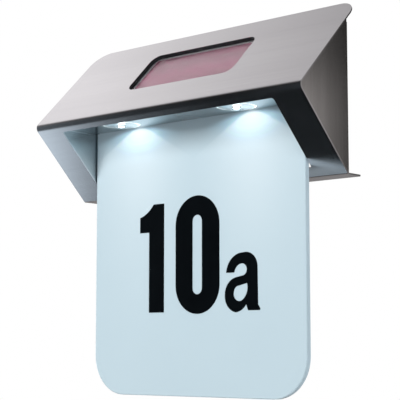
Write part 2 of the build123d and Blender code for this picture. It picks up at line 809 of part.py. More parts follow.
# Battery case: a box open below, with lugs for its screws, hinge ears and a switch pocket
ear_x = case_end - ear_width / 2
knuckle_half = case_end - ear_width - knuckle_gap
hinge_plane = Plane(origin=(0, hinge_y, hinge_z), x_dir=(0, 1, 0), z_dir=(1, 0, 0))
with BuildPart() as battery_case:
    with BuildSketch(Plane.XY.offset(case_bottom)):
        with Locations((0, battery_y)):
            Rectangle(2 * case_end, 2 * case_half)
    extrude(amount=case_top - case_bottom)
    with BuildSketch(Plane.XY.offset(case_bottom)):
        with Locations(((case_end + pocket_end) / 2, battery_y)):
            Rectangle(pocket_end - case_end, 2 * pocket_half)
    extrude(amount=switch_wall + switch_height + switch_pin_length)
    with BuildSketch(Plane.XY.offset(case_bottom)):
        with Locations((0, battery_y)):
            Rectangle(case_room, 2 * (case_half - case_wall))
    extrude(amount=case_top - case_wall - case_bottom, mode=Mode.SUBTRACT)
    with BuildSketch(Plane.XY.offset(switch_z)):
        with Locations((switch_x, battery_y)):
            Rectangle(switch_length + 2 * switch_room, 2 * (pocket_half - switch_wall))
    extrude(amount=switch_height + switch_pin_length, mode=Mode.SUBTRACT)
    with BuildSketch(Plane.XY.offset(case_bottom)):
        with Locations((switch_x, battery_y)):
            Rectangle(knob_length + switch_travel + 2 * knob_gap, knob_width + 2 * knob_gap)
    extrude(amount=switch_wall, mode=Mode.SUBTRACT)
    # lugs up to the rail, and the slot for the battery's wires
    with BuildSketch(facing_front(rail_front)):
        with Locations((0, case_top + (lug_height - case_wall) / 2)):
            with GridLocations(lug_spacing, 0, 2, 1):
                Rectangle(lug_width, lug_height + case_wall)
        with Locations((0, lug_z)):
            with GridLocations(lug_spacing, 0, 2, 1):
                Circle(screw_radius + screw_clearance, mode=Mode.SUBTRACT)
    extrude(amount=lug_thickness)
    with BuildSketch(facing_front(-case_front, x=battery_lead_x, z=battery_lead_z)):
        SlotOverall(
            lead_pitch + 2 * (lead_radius + lead_hole_clearance),
            2 * (lead_radius + lead_hole_clearance),
        )
    extrude(amount=-case_wall, mode=Mode.SUBTRACT)
    # room for the door's knuckle in the front wall, then an ear at each end
    with BuildSketch(hinge_plane):
        Rectangle(2 * (knuckle_radius + knuckle_gap), 2 * (knuckle_radius + knuckle_gap))
    extrude(amount=knuckle_half + knuckle_gap, both=True, mode=Mode.SUBTRACT)
    for side in (-1, 1):
        with BuildSketch(hinge_plane.offset(side * ear_x)):
            Circle(knuckle_radius)
            with Locations((0, (hinge_drop + case_wall) / 2)):
                Rectangle(2 * knuckle_radius, hinge_drop + case_wall)
            Circle(pin_radius, mode=Mode.SUBTRACT)
        extrude(amount=ear_width / 2, both=True)
finish(battery_case, "battery_case")

with BuildPart() as case_screws:
    grip = lug_thickness + rail_thickness
    for radius, length in (
        (screw_head_radius, screw_head_height),
        (screw_radius, -grip - nut_height - screw_tail),
    ):
        with BuildSketch(facing_front(rail_front + lug_thickness, z=lug_z)):
            with GridLocations(lug_spacing, 0, 2, 1):
                Circle(radius)
        extrude(amount=length)
finish(case_screws, "case_screws")

with BuildPart() as case_nuts:
    with BuildSketch(facing_front(rail_front - rail_thickness, z=lug_z)):
        with GridLocations(lug_spacing, 0, 2, 1):
            RegularPolygon(nut_radius, 6)
            Circle(screw_radius + screw_clearance, mode=Mode.SUBTRACT)
    extrude(amount=-nut_height)
finish(case_nuts, "case_nuts")

# Battery door under the case: knuckle, plate, latch tongue and finger grooves
with BuildPart() as battery_door:
    door_rear = case_rear - door_clearance
    plate_front = hinge_y + knuckle_radius + knuckle_gap
    with BuildSketch(Plane.XY.offset(case_bottom)):
        with Locations((0, (plate_front + door_rear) / 2)):
            Rectangle(2 * case_end, door_rear - plate_front)
        with Locations((0, (hinge_y + plate_front) / 2)):
            Rectangle(2 * knuckle_half, plate_front - hinge_y)
    extrude(amount=-door_thickness)
    with BuildSketch(hinge_plane):
        Circle(knuckle_radius)
    extrude(amount=knuckle_half, both=True)
    with BuildSketch(hinge_plane):
        Circle(pin_radius + pin_clearance)
    extrude(amount=case_end, both=True, mode=Mode.SUBTRACT)
    with BuildSketch(Plane.XY.offset(case_bottom)):
        with Locations((0, case_rear - case_wall - latch_gap - latch_thickness / 2)):
            Rectangle(latch_width, latch_thickness)
    extrude(amount=latch_height)
    with BuildSketch(Plane.XY.offset(case_bottom - door_thickness)):
        with Locations((0, battery_y + case_half / 2)):
            with GridLocations(0, grip_pitch, 1, grip_count):
                Rectangle(latch_width, grip_pitch / 2)
    extrude(amount=grip_depth, mode=Mode.SUBTRACT)
finish(battery_door, "battery_door")

with BuildPart() as hinge_pin:
    with BuildSketch(hinge_plane):
        Circle(pin_radius)
    extrude(amount=case_end, both=True)
finish(hinge_pin, "hinge_pin")

# Battery: can and raised cap, with its two contacts
battery_plane = Plane(origin=(0, battery_y, battery_z), x_dir=(0, 1, 0), z_dir=(1, 0, 0))
battery_end = case_room / 2 - contact_thickness - cap_length
with BuildPart() as battery:
    with BuildSketch(battery_plane.offset(battery_end)):
        Circle(cell_radius)
    extrude(amount=-cell_length)
    with BuildSketch(battery_plane.offset(battery_end)):
        Circle(cap_radius)
    extrude(amount=cap_length)
finish(battery, "battery")

with BuildPart() as contact_plate:
    with BuildSketch(battery_plane.offset(case_room / 2)):
        Rectangle(contact_size, contact_size)
    extrude(amount=-contact_thickness)
finish(contact_plate, "contact_plate")

with BuildPart() as battery_spring:
    with BuildSketch(battery_plane.offset(-case_room / 2)):
        Rectangle(contact_size, contact_size)
    extrude(amount=contact_thickness)
    coil_start = contact_thickness + spring_wire_radius - case_room / 2
    coil_length = battery_end - cell_length - spring_wire_radius - coil_start
    with BuildLine():
        coil = Helix(
            pitch=coil_length / spring_turns,
            height=coil_length,
            radius=spring_base_radius,
            center=(coil_start, battery_y, battery_z),
            direction=(1, 0, 0),
            cone_angle=-degrees(atan((spring_base_radius - spring_tip_radius) / coil_length)),
        )
    with BuildSketch(Plane(origin=coil @ 0, z_dir=coil % 0)):
        Circle(spring_wire_radius)
    sweep(path=coil, is_frenet=True)
finish(battery_spring, "battery_spring")

# Switch: body with its pins, and the slider that the finger moves
with BuildPart() as switch_body:
    with BuildSketch(Plane.XY.offset(switch_z)):
        with Locations((switch_x, battery_y)):
            Rectangle(switch_length, switch_width)
    extrude(amount=switch_height)
    with BuildSketch(Plane.XY.offset(switch_z)):
        with Locations((switch_x, battery_y)):
            Rectangle(
                knob_length + 2 * slider_foot + switch_travel + 2 * slider_clearance,
                knob_width + 4 * slider_clearance,
            )
    extrude(amount=slider_foot + slider_clearance, mode=Mode.SUBTRACT)
    with BuildSketch(Plane.XY.offset(switch_z + switch_height)):
        with Locations((switch_x, battery_y)):
            with GridLocations(switch_pin_pitch, 0, 3, 1):
                Circle(switch_pin_radius)
    extrude(amount=switch_pin_length)
finish(switch_body, "switch_body")

with BuildPart() as switch_slider:
    slider_x = switch_x - switch_travel / 2
    with BuildSketch(Plane.XY.offset(switch_z)):
        with Locations((slider_x, battery_y)):
            Rectangle(knob_length + 2 * slider_foot, knob_width + 2 * slider_clearance)
    extrude(amount=slider_foot)
    with BuildSketch(Plane.XY.offset(switch_z)):
        with Locations((slider_x, battery_y)):
            Rectangle(knob_length, knob_width)
    extrude(amount=-switch_wall - knob_reach)
finish(switch_slider, "switch_slider")

# Inner wiring: every wire is straight runs with tangent bends between them
solar_lead_down = module_depth + lead_rise - root2 * board_rear
solar_end = on_slope(solar_lead_down, module_depth).origin
solar_turn = on_slope(solar_lead_down, module_depth + lead_rise).origin
switch_pins = switch_z + switch_height + switch_pin_length
half_pitch = lead_pitch / 2


def beside(points, across_x, across_y):
    """The same run twice, moved half a pitch to each side."""
    return [
        [(x + side * across_x, y + side * across_y, z) for x, y, z in points]
        for side in (-half_pitch, half_pitch)
    ]


def led_run(side):
    """Run from the circuit board to one lamp's board, where it lies flat."""
    return [
        (side * led_lead_x, led_lead_y, board_top),
        (side * led_lead_x, led_lead_y, led_lead_z),
        (side * lens_x, led_lead_y, led_lead_z),
    ]


solar_run = [
    (solar_lead_x, solar_end.Y, solar_end.Z),
    (solar_lead_x, solar_turn.Y, solar_turn.Z),
    (solar_lead_x, solar_turn.Y, board_top),
]
switch_run = [
    (switch_x, battery_y, switch_pins),
    (switch_x, battery_y, battery_lead_z),
    (switch_x, board_rear, battery_lead_z),
    (switch_lead_x, board_rear, battery_lead_z),
    (switch_lead_x, board_rear, board_top),
]
battery_runs = [
    [
        (side * (case_room / 2 - contact_thickness), battery_lead_y, battery_lead_z),
        (battery_lead_x + side * half_pitch, battery_lead_y, battery_lead_z),
        (battery_lead_x + side * half_pitch, board_rear, battery_lead_z),
        (battery_lead_x + side * half_pitch, board_rear, board_top),
    ]
    for side in (-1, 1)
]

for name, runs in (
    ("solar_leads", beside(solar_run, 1, 0)),
    ("led_leads_left", beside(led_run(-1), 0, 1)),
    ("led_leads_right", beside(led_run(1), 0, 1)),
    ("switch_leads", beside(switch_run, 1, -1)),
    ("battery_leads", battery_runs),
):
    with BuildPart() as leads:
        for points in runs:
            with BuildLine():
                route = FilletPolyline(*points, radius=lead_bend)
            with BuildSketch(Plane(origin=route @ 0, z_dir=route % 0)):
                Circle(lead_radius)
            sweep(path=route)
    finish(leads, name)
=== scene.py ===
# Solar house number lamp: finishes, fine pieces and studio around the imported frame
import math
import bmesh
import bpy
import numpy as np
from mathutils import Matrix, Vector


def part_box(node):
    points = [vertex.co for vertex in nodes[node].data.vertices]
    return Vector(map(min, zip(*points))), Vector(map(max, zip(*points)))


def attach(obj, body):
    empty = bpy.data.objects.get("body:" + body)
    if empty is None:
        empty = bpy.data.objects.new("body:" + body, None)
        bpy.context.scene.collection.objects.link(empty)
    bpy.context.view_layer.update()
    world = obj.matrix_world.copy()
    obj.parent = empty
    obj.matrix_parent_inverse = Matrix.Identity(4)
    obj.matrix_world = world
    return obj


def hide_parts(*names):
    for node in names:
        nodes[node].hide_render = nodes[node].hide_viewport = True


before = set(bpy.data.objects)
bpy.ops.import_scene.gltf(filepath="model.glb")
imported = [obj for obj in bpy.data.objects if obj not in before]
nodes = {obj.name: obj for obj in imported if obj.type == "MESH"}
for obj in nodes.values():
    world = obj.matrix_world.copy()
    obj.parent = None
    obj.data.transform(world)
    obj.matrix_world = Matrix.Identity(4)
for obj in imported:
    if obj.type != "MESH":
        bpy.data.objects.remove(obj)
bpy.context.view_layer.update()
mm = 0.001
weldWithin, sharpFrom = 1e-7, 40  # metres and degrees
lampX, lampY = 44.0, -36.48  # upright axes of the two lamps, one to each side of the middle, in millimetres


def linkObject(name, data):
    made = bpy.data.objects.new(name, data)
    bpy.context.scene.collection.objects.link(made)
    return made


# camera at the photograph's angle, in metres and degrees
shot = {"place": (0.4826, -0.5617, -0.1510), "turn": 41.517, "tilt": 6.589, "lens": 115.26, "nearest": 0.01}
cameraData = bpy.data.cameras.new("camera")
cameraData.lens = shot["lens"]
cameraData.clip_start = shot["nearest"]
camera = linkObject("camera", cameraData)
camera.location = shot["place"]
camera.rotation_euler = (math.radians(90 + shot["tilt"]), 0, math.radians(shot["turn"]))
bpy.context.scene.camera = camera
bpy.context.scene.view_settings.view_transform = "Standard"
print("camera ready")


# shader helpers: a value may be a number, a colour or another node's output
def plug(tree, socket, value):
    if isinstance(value, bpy.types.NodeSocket):
        tree.links.new(value, socket)
    elif socket.type == "RGBA":
        socket.default_value = (*value[:3], 1)
    else:
        socket.default_value = value


def addNode(tree, kind, inputs=None, **settings):
    made = tree.nodes.new(kind)
    for name, value in settings.items():
        setattr(made, name, value)
    for name, value in (inputs or {}).items():
        plug(tree, made.inputs[name], value)
    return made


def combine(tree, operation, a, b=0.0, clamp=False):
    return addNode(tree, "ShaderNodeMath", {0: a, 1: b}, operation=operation, use_clamp=clamp).outputs[0]


def plus(tree, a, b):
    return combine(tree, "ADD", a, b)


def minus(tree, a, b):
    return combine(tree, "SUBTRACT", a, b)


def times(tree, product, *factors):
    for factor in factors:
        product = combine(tree, "MULTIPLY", product, factor)
    return product


def blendColor(tree, share, first, second, way="MIX"):
    mix = addNode(tree, "ShaderNodeMix", data_type="RGBA", blend_type=way)
    plug(tree, mix.inputs["Factor"], share)
    plug(tree, mix.inputs[6], first)
    plug(tree, mix.inputs[7], second)
    return mix.outputs[2]


def spread(tree, value, low, high, toLow, toHigh, curve="LINEAR"):
    return addNode(tree, "ShaderNodeMapRange", {"Value": value, "From Min": low, "From Max": high, "To Min": toLow,
                                                "To Max": toHigh}, interpolation_type=curve).outputs[0]


def fromNoise(tree, value, low, high):
    # noise mostly lies between 0.3 and 0.7
    return spread(tree, value, 0.3, 0.7, low, high)


def place(tree):
    return addNode(tree, "ShaderNodeTexCoord").outputs["Object"]


def axesOf(tree):
    return addNode(tree, "ShaderNodeSeparateXYZ", {"Vector": place(tree)}).outputs


def noise(tree, vector, scale, detail=3.0, roughness=0.5):
    return addNode(tree, "ShaderNodeTexNoise", {"Vector": vector, "Scale": scale, "Detail": detail,
                                                "Roughness": roughness}).outputs["Fac"]


def newGroup(name, inputs, outputs):
    group = bpy.data.node_groups.new(name, "ShaderNodeTree")
    for label, value in inputs.items():
        kind = "NodeSocketVector" if value is None else "NodeSocketFloat"
        socket = group.interface.new_socket(name=label, in_out="INPUT", socket_type=kind)
        if value is not None:
            socket.default_value = value
    for label in outputs:
        group.interface.new_socket(name=label, in_out="OUTPUT", socket_type="NodeSocketFloat")
    return group, group.nodes.new("NodeGroupInput").outputs, group.nodes.new("NodeGroupOutput").inputs


brushing = {"bands": 0.05, "cloud": 9.0, "fineDetail": 6.0, "fineRoughness": 0.7, "bandDetail": 2.0, "fineShare": 0.45,
    "bandShare": 0.55}


def makeBrushedSheet():
    # fine scratches from noise squeezed across the rolling direction, wider bands and a slow cloud beside them
    look = brushing
    group, given, put = newGroup("brushedSheet", {"Vector": None, "Bands": look["bands"], "Cloud": look["cloud"]},
        ["Tone", "Height", "Cloud"])
    fine = noise(group, given["Vector"], 1.0, look["fineDetail"], look["fineRoughness"])
    bands = noise(group, given["Vector"], given["Bands"], look["bandDetail"])
    plug(group, put["Tone"], plus(group, times(group, fine, look["fineShare"]),
                                  times(group, bands, look["bandShare"])))
    plug(group, put["Height"], fine)
    plug(group, put["Cloud"], noise(group, place(group), given["Cloud"]))
    return group


moulding = {"grain": 1400.0, "cloud": 30.0, "cloudDetail": 4.0}


def makeMouldedSkin():
    # spark-eroded plastic: small round pits and a slow change of gloss
    group, given, put = newGroup("mouldedSkin", {"Grain": moulding["grain"], "Cloud": moulding["cloud"]},
        ["Height", "Gloss"])
    pits = addNode(group, "ShaderNodeTexVoronoi", {"Vector": place(group), "Scale": given["Grain"]})
    plug(group, put["Height"], pits.outputs["Distance"])
    plug(group, put["Gloss"], noise(group, place(group), given["Cloud"], moulding["cloudDetail"]))
    return group


marking = {"size": 25.0, "cover": 0.5, "detail": 8.0, "roughness": 0.62, "edge": 0.7, "edgeDrop": 0.4, "slope": 4.0}


def makeHandMarks():
    # thin dust and finger marks: clouded noise cut to soft patches, more of them with more cover
    look = marking
    group, given, put = newGroup("handMarks", {"Size": look["size"], "Cover": look["cover"]}, ["Mask"])
    cloud = noise(group, place(group), given["Size"], look["detail"], look["roughness"])
    edge = minus(group, look["edge"], times(group, given["Cover"], look["edgeDrop"]))
    plug(group, put["Mask"], combine(group, "MULTIPLY", minus(group, cloud, edge), look["slope"], clamp=True))
    return group


def makeLampDistance():
    # how far a point is from the nearer lamp's upright axis, to the side and in all
    group, given, put = newGroup("lampDistance", {"Lamp X": lampX * mm, "Lamp Y": lampY * mm}, ["Aside", "Away"])
    axes = axesOf(group)
    aside = minus(group, combine(group, "ABSOLUTE", axes["X"]), given["Lamp X"])
    across = minus(group, axes["Y"], given["Lamp Y"])
    plug(group, put["Aside"], aside)
    plug(group, put["Away"], combine(group, "SQRT", plus(group, times(group, aside, aside),
                                                         times(group, across, across))))
    return group


brushedSheet = makeBrushedSheet()
mouldedSkin = makeMouldedSkin()
handMarks = makeHandMarks()
lampDistance = makeLampDistance()


def useGroup(tree, group, **inputs):
    return addNode(tree, "ShaderNodeGroup", {name.replace("_", " "): value for name, value in inputs.items()},
                   node_tree=group).outputs


settingSockets = {"ior": "IOR", "shine": "Specular IOR Level", "coat": "Coat Weight", "coatRough": "Coat Roughness",
    "strength": "Emission Strength", "metal": "Metallic", "clear": "Transmission Weight"}


def newMaterial(name, look):
    # settings that have a socket of their own on the shader are set there
    material = bpy.data.materials.new(name)
    material.use_nodes = True
    tree = material.node_tree
    shader = tree.nodes["Principled BSDF"]
    for setting, socket in settingSockets.items():
        if setting in look:
            shader.inputs[socket].default_value = look[setting]
    return material, tree, shader


def roughWithMarks(tree, look):
    marks = useGroup(tree, handMarks, Size=look["markSize"], Cover=look["markCover"])["Mask"]
    return marks, spread(tree, marks, 0.0, 1.0, look["rough"], look["rough"] + look["markRough"])


def dress(tree, shader, look, color, rough, height):
    plug(tree, shader.inputs["Base Color"], color)
    plug(tree, shader.inputs["Roughness"], rough)
    bump = addNode(tree, "ShaderNodeBump", {"Height": height, "Strength": look["bump"], "Distance": look["depth"]})
    plug(tree, shader.inputs["Normal"], bump.outputs["Normal"])


# steel sheets and turned parts: lines are the noise scales along X, Y and Z, small along the brushing
steelLooks = {
    "hoodSteel": {"lines": (5, 1500, 1500), "bands": 0.02, "dark": (0.63, 0.61, 0.625), "light": (0.71, 0.69, 0.705),
        "mark": (0.58, 0.56, 0.56), "cover": 0.2, "rough": 0.2, "spread": 0.02, "bump": 0.12},
    "cheekSteel": {"lines": (1500, 1500, 4), "bands": 0.05, "dark": (0.57, 0.545, 0.535),
        "light": (0.70, 0.675, 0.665), "mark": (0.56, 0.54, 0.52), "cover": 0.2, "rough": 0.22, "spread": 0.02,
        "bump": 0.08},
    "boxSteel": {"lines": (5, 1200, 1200), "bands": 0.03, "dark": (0.42, 0.45, 0.465), "light": (0.52, 0.555, 0.57),
        "mark": (0.40, 0.42, 0.43), "cover": 0.2, "rough": 0.26, "spread": 0.03, "bump": 0.12},
    "railSteel": {"lines": (8, 900, 900), "bands": 0.04, "dark": (0.46, 0.46, 0.46), "light": (0.60, 0.60, 0.60),
        "mark": (0.42, 0.41, 0.40), "cover": 0.5, "rough": 0.34, "spread": 0.05, "bump": 0.2},
    "plateSteel": {"lines": (8, 900, 900), "bands": 0.04, "dark": (0.48, 0.48, 0.49), "light": (0.62, 0.62, 0.62),
        "mark": (0.42, 0.41, 0.40), "cover": 0.5, "rough": 0.34, "spread": 0.05, "bump": 0.2},
    "fastenerSteel": {"lines": (600, 600, 600), "bands": 0.3, "dark": (0.56, 0.55, 0.53), "light": (0.70, 0.69, 0.67),
        "mark": (0.45, 0.43, 0.40), "cover": 0.3, "rough": 0.24, "spread": 0.04, "bump": 0.1},
    "contactNickel": {"lines": (400, 400, 400), "bands": 0.3, "dark": (0.62, 0.59, 0.52), "light": (0.74, 0.71, 0.64),
        "mark": (0.50, 0.47, 0.42), "cover": 0.3, "rough": 0.22, "spread": 0.04, "bump": 0.1},
}
allSteel = {"metal": 1.0, "cloud": 14.0, "markSize": 45.0, "darkAt": 0.35, "lightAt": 0.65, "markShare": 0.3,
    "markRough": 0.06, "depth": 0.00004}


def steelFinish(name):
    look = {**allSteel, **steelLooks[name]}
    material, tree, shader = newMaterial(name, look)
    along = addNode(tree, "ShaderNodeMapping", {"Vector": place(tree), "Scale": look["lines"]}).outputs[0]
    sheet = useGroup(tree, brushedSheet, Vector=along, Bands=look["bands"], Cloud=look["cloud"])
    marks = useGroup(tree, handMarks, Size=look["markSize"], Cover=look["cover"])["Mask"]
    tone = blendColor(tree, spread(tree, sheet["Tone"], look["darkAt"], look["lightAt"], 0.0, 1.0), look["dark"],
                      look["light"])
    color = blendColor(tree, times(tree, marks, look["markShare"]), tone, look["mark"])
    rough = fromNoise(tree, sheet["Cloud"], look["rough"] - look["spread"], look["rough"] + look["spread"])
    rough = plus(tree, rough, times(tree, marks, look["markRough"]))
    dress(tree, shader, look, color, rough, sheet["Height"])
    return material


# moulded plastics, rubber and film
plasticLooks = {
    "caseBlack": {"grain": 2200, "cloud": 40, "dust": 0.5, "dark": (0.018, 0.018, 0.019), "light": (0.03, 0.03, 0.031),
        "rough": 0.45, "bump": 0.5},
    "doorBlack": {"grain": 2200, "cloud": 55, "dust": 0.4, "dark": (0.022, 0.022, 0.023),
        "light": (0.034, 0.034, 0.035), "rough": 0.42, "bump": 0.5},
    "gasketRubber": {"grain": 3200, "cloud": 90, "dust": 0.05, "dark": (0.004, 0.004, 0.005),
        "light": (0.018, 0.017, 0.019), "rough": 0.7, "bump": 0.6},
    "backingWhite": {"grain": 1500, "cloud": 30, "dust": 0.4, "dark": (0.66, 0.66, 0.64), "light": (0.74, 0.74, 0.72),
        "rough": 0.55, "bump": 0.2},
    "spacerNylon": {"grain": 1800, "cloud": 120, "dust": 0.2, "dark": (0.62, 0.60, 0.54), "light": (0.72, 0.70, 0.64),
        "rough": 0.42, "bump": 0.2},
    "chipResin": {"grain": 3500, "cloud": 200, "dust": 0.2, "dark": (0.018, 0.018, 0.018), "light": (0.03, 0.03, 0.03),
        "rough": 0.5, "bump": 0.4},
    "coilFerrite": {"grain": 4000, "cloud": 300, "dust": 0.3, "dark": (0.04, 0.037, 0.036),
        "light": (0.075, 0.07, 0.068), "rough": 0.62, "bump": 0.6},
    "capacitorSleeve": {"grain": 900, "cloud": 260, "dust": 0.1, "dark": (0.012, 0.02, 0.07),
        "light": (0.02, 0.03, 0.10), "rough": 0.25, "bump": 0.05},
    "switchBlack": {"grain": 3000, "cloud": 220, "dust": 0.2, "dark": (0.02, 0.02, 0.022),
        "light": (0.032, 0.032, 0.034), "rough": 0.4, "bump": 0.3},
    "sliderWhite": {"grain": 3000, "cloud": 300, "dust": 0.2, "dark": (0.62, 0.62, 0.60), "light": (0.72, 0.72, 0.70),
        "rough": 0.35, "bump": 0.2},
    "filmBlack": {"grain": 2600, "cloud": 60, "dust": 0.1, "dark": (0.0006, 0.0012, 0.002),
        "light": (0.001, 0.002, 0.003), "rough": 0.45, "bump": 0.05, "shine": 0.12},
}
allPlastic = {"dustShare": 0.06, "dustColor": (0.5, 0.48, 0.45), "smoother": 0.05,
    "rougher": 0.08, "depth": 0.00005}


def plasticFinish(name):
    look = {**allPlastic, **plasticLooks[name]}
    material, tree, shader = newMaterial(name, look)
    skin = useGroup(tree, mouldedSkin, Grain=look["grain"], Cloud=look["cloud"])
    dust = useGroup(tree, handMarks, Size=look["cloud"], Cover=look["dust"])["Mask"]
    body = blendColor(tree, fromNoise(tree, skin["Gloss"], 0.0, 1.0), look["dark"], look["light"])
    color = blendColor(tree, times(tree, dust, look["dustShare"]), body, look["dustColor"])
    rough = fromNoise(tree, skin["Gloss"], look["rough"] - look["smoother"], look["rough"] + look["rougher"])
    dress(tree, shader, look, color, rough, skin["Height"])
    return material


# house panel: satin acrylic; each lamp's light on it is painted as emission, a blue haze round its foot and a white
# wash in a bow below it
panelLook = {"color": (0.515, 0.645, 0.72), "pale": (0.545, 0.675, 0.75), "cloud": 14.0, "cloudDetail": 2.0,
    "rough": 0.4, "markRough": 0.1, "markSize": 60.0, "markCover": 0.2, "bump": 0.02, "depth": 0.001, "ior": 1.49,
    "shine": 0.1, "coat": 0.6, "coatRough": 0.02, "strength": 1.0, "bowX": 0.043, "bowZ": -0.0207, "bowRound": 0.004,
    "haze": (0.40, 0.64, 0.77), "hazeSlope": 0.25, "hazeEdge": (-0.0012, 0.0028), "hazeSide": 0.020, "hazeAt": 0.0045,
    "hazeFall": 0.0095, "paintedWash": (1.0, 0.88, 0.82), "washSlope": 0.6, "washEdge": (-0.0006, 0.0018), "washSide": 0.026,
    "near": 0.3, "nearFall": 0.008, "far": 0.155, "farFall": 0.062}


def panelFinish():
    look = panelLook
    material, tree, shader = newMaterial("opalAcrylic", look)
    cloud = noise(tree, place(tree), look["cloud"], look["cloudDetail"])
    drop = minus(tree, look["bowZ"], axesOf(tree)["Z"])
    aside = useGroup(tree, lampDistance, Lamp_X=look["bowX"])["Aside"]

    def bell(value, middle, width):
        # one over e to the square of the way from the middle, in widths
        way = combine(tree, "DIVIDE", minus(tree, value, middle), width)
        return combine(tree, "EXPONENT", times(tree, way, way, -1.0))

    def insideBow(slope, edge):
        # bow's drop: square root of the rounding squared plus the sloped way aside squared, less the rounding
        run = times(tree, aside, slope)
        bow = combine(tree, "SQRT", plus(tree, times(tree, run, run), look["bowRound"] ** 2))
        below = minus(tree, drop, minus(tree, bow, look["bowRound"]))
        return spread(tree, below, *edge, 0.0, 1.0, "SMOOTHSTEP")

    # painted lamp light: a blue haze round the foot of each lamp and a white wash in the bow below it
    haze = times(tree, bell(aside, 0.0, look["hazeSide"]), bell(drop, look["hazeAt"], look["hazeFall"]),
                 insideBow(look["hazeSlope"], look["hazeEdge"]))
    paintedWash = plus(tree, times(tree, bell(drop, 0.0, look["nearFall"]), look["near"]),
                times(tree, bell(drop, 0.0, look["farFall"]), look["far"]))
    paintedWash = times(tree, paintedWash, bell(aside, 0.0, look["washSide"]), insideBow(look["washSlope"], look["washEdge"]))
    # the painted lamp light goes into the panel's emission
    glow = blendColor(tree, 1.0, blendColor(tree, haze, (0, 0, 0), look["haze"]),
                      blendColor(tree, paintedWash, (0, 0, 0), look["paintedWash"]), "ADD")
    plug(tree, shader.inputs["Emission Color"], glow)
    color = blendColor(tree, cloud, look["color"], look["pale"])
    dress(tree, shader, look, color, roughWithMarks(tree, look)[1], cloud)
    return material


# pane over the solar cell: textured glass that blurs what it mirrors
paneLook = {"color": (0.97, 0.97, 0.98), "clear": 1.0, "ior": 1.45, "rough": 0.25, "markRough": 0.05, "markSize": 35,
    "markCover": 0.4, "bump": 0.02, "depth": 0.0002}


def paneFinish():
    look = paneLook
    material, tree, shader = newMaterial("paneGlass", look)
    marks, rough = roughWithMarks(tree, look)
    dress(tree, shader, look, look["color"], rough, marks)
    return material


# lamp lens: clear, with a glow painted as emission, brightest over the diode and along its thick rim, on its lower
# face alone
lensLook = {"color": (0.90, 0.97, 1.0), "glow": (0.85, 0.97, 1.0), "strength": 9.0, "below": -0.0207, "clear": 1.0,
    "ior": 1.49, "diode": 0.0013, "diodeSoft": 0.0009, "rim": 0.0108, "rimNear": 0.0002, "rimFar": 0.0014,
    "paintedRimGlow": 0.10, "paintedFaceGlow": 0.006, "ripple": 260.0, "rippleDetail": 2.0, "rippleAt": (0.35, 0.65),
    "rippleShare": (0.6, 1.3), "rough": (0.03, 0.08), "bump": 0.05, "depth": 0.0003}


def lensFinish():
    look = lensLook
    material, tree, shader = newMaterial("lampLens", look)
    away = useGroup(tree, lampDistance)["Away"]
    # painted glow: a bright spot over the diode, then painted light along the rim and faintly over the face
    over = spread(tree, away, look["diode"], look["diode"] + look["diodeSoft"], 1.0, 0.0, "SMOOTHSTEP")
    rim = spread(tree, combine(tree, "ABSOLUTE", minus(tree, away, look["rim"])), look["rimNear"], look["rimFar"],
                 look["paintedRimGlow"], look["paintedFaceGlow"])
    ripple = noise(tree, place(tree), look["ripple"], look["rippleDetail"])
    rim = times(tree, rim, spread(tree, ripple, *look["rippleAt"], *look["rippleShare"]))
    share = times(tree, combine(tree, "MAXIMUM", over, rim),
                  combine(tree, "LESS_THAN", axesOf(tree)["Z"], look["below"]))
    plug(tree, shader.inputs["Emission Color"], blendColor(tree, share, (0.0, 0.0, 0.0), look["glow"]))
    dress(tree, shader, look, look["color"], fromNoise(tree, ripple, *look["rough"]), ripple)
    return material


# solar cell: red-brown film on glass in strips with fine cuts between them, inside a pale conductor at its border
cellLook = {"dark": (0.36, 0.08, 0.165), "light": (0.48, 0.14, 0.25), "line": (0.36, 0.16, 0.21), "pitch": 0.0081,
    "cut": 0.03, "border": (0.72, 0.72, 0.75), "halfWidth": 0.0380, "halfLength": 0.0157, "soft": 0.0004,
    "cloud": 25.0, "cloudDetail": 4.0, "rough": (0.25, 0.35), "bump": 0.1, "depth": 0.00005, "ior": 1.6, "coat": 0.4,
    "coatRough": 0.05}


def cellFinish():
    look = cellLook
    material, tree, shader = newMaterial("cellFilm", look)
    low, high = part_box("solar_cell")
    axes = axesOf(tree)
    strip = combine(tree, "FRACT", combine(tree, "DIVIDE", axes["X"], look["pitch"]))
    line = combine(tree, "LESS_THAN", strip, look["cut"])
    cloud = noise(tree, place(tree), look["cloud"], look["cloudDetail"])
    film = blendColor(tree, cloud, look["dark"], look["light"])
    # way up the slope from the middle is the rise and the depth together over the square root of two
    middle = (low[1] + high[1] + low[2] + high[2]) / 2
    upward = minus(tree, plus(tree, axes["Y"], axes["Z"]), middle)
    upward = times(tree, combine(tree, "ABSOLUTE", upward), math.sqrt(0.5))
    past = combine(tree, "MAXIMUM", minus(tree, combine(tree, "ABSOLUTE", axes["X"]), look["halfWidth"]),
                   minus(tree, upward, look["halfLength"]))
    border = spread(tree, past, 0.0, look["soft"], 0.0, 1.0)
    color = blendColor(tree, border, blendColor(tree, line, film, look["line"]), look["border"])
    dress(tree, shader, look, color, fromNoise(tree, cloud, *look["rough"]), line)
    return material


# board: green lacquer over tracks laid as a brick pattern, with the glass weave under it
boardLook = {"lacquer": (0.012, 0.09, 0.03), "track": (0.02, 0.15, 0.05), "tracks": 170.0, "trackWidth": 0.06,
    "weave": (0.20, 0.22, 0.08), "weaveScale": 900.0, "weaveShare": 0.12, "rough": (0.3, 0.45), "bump": 0.2,
    "depth": 0.00005, "ior": 1.5, "coat": 0.4, "coatRough": 0.15}


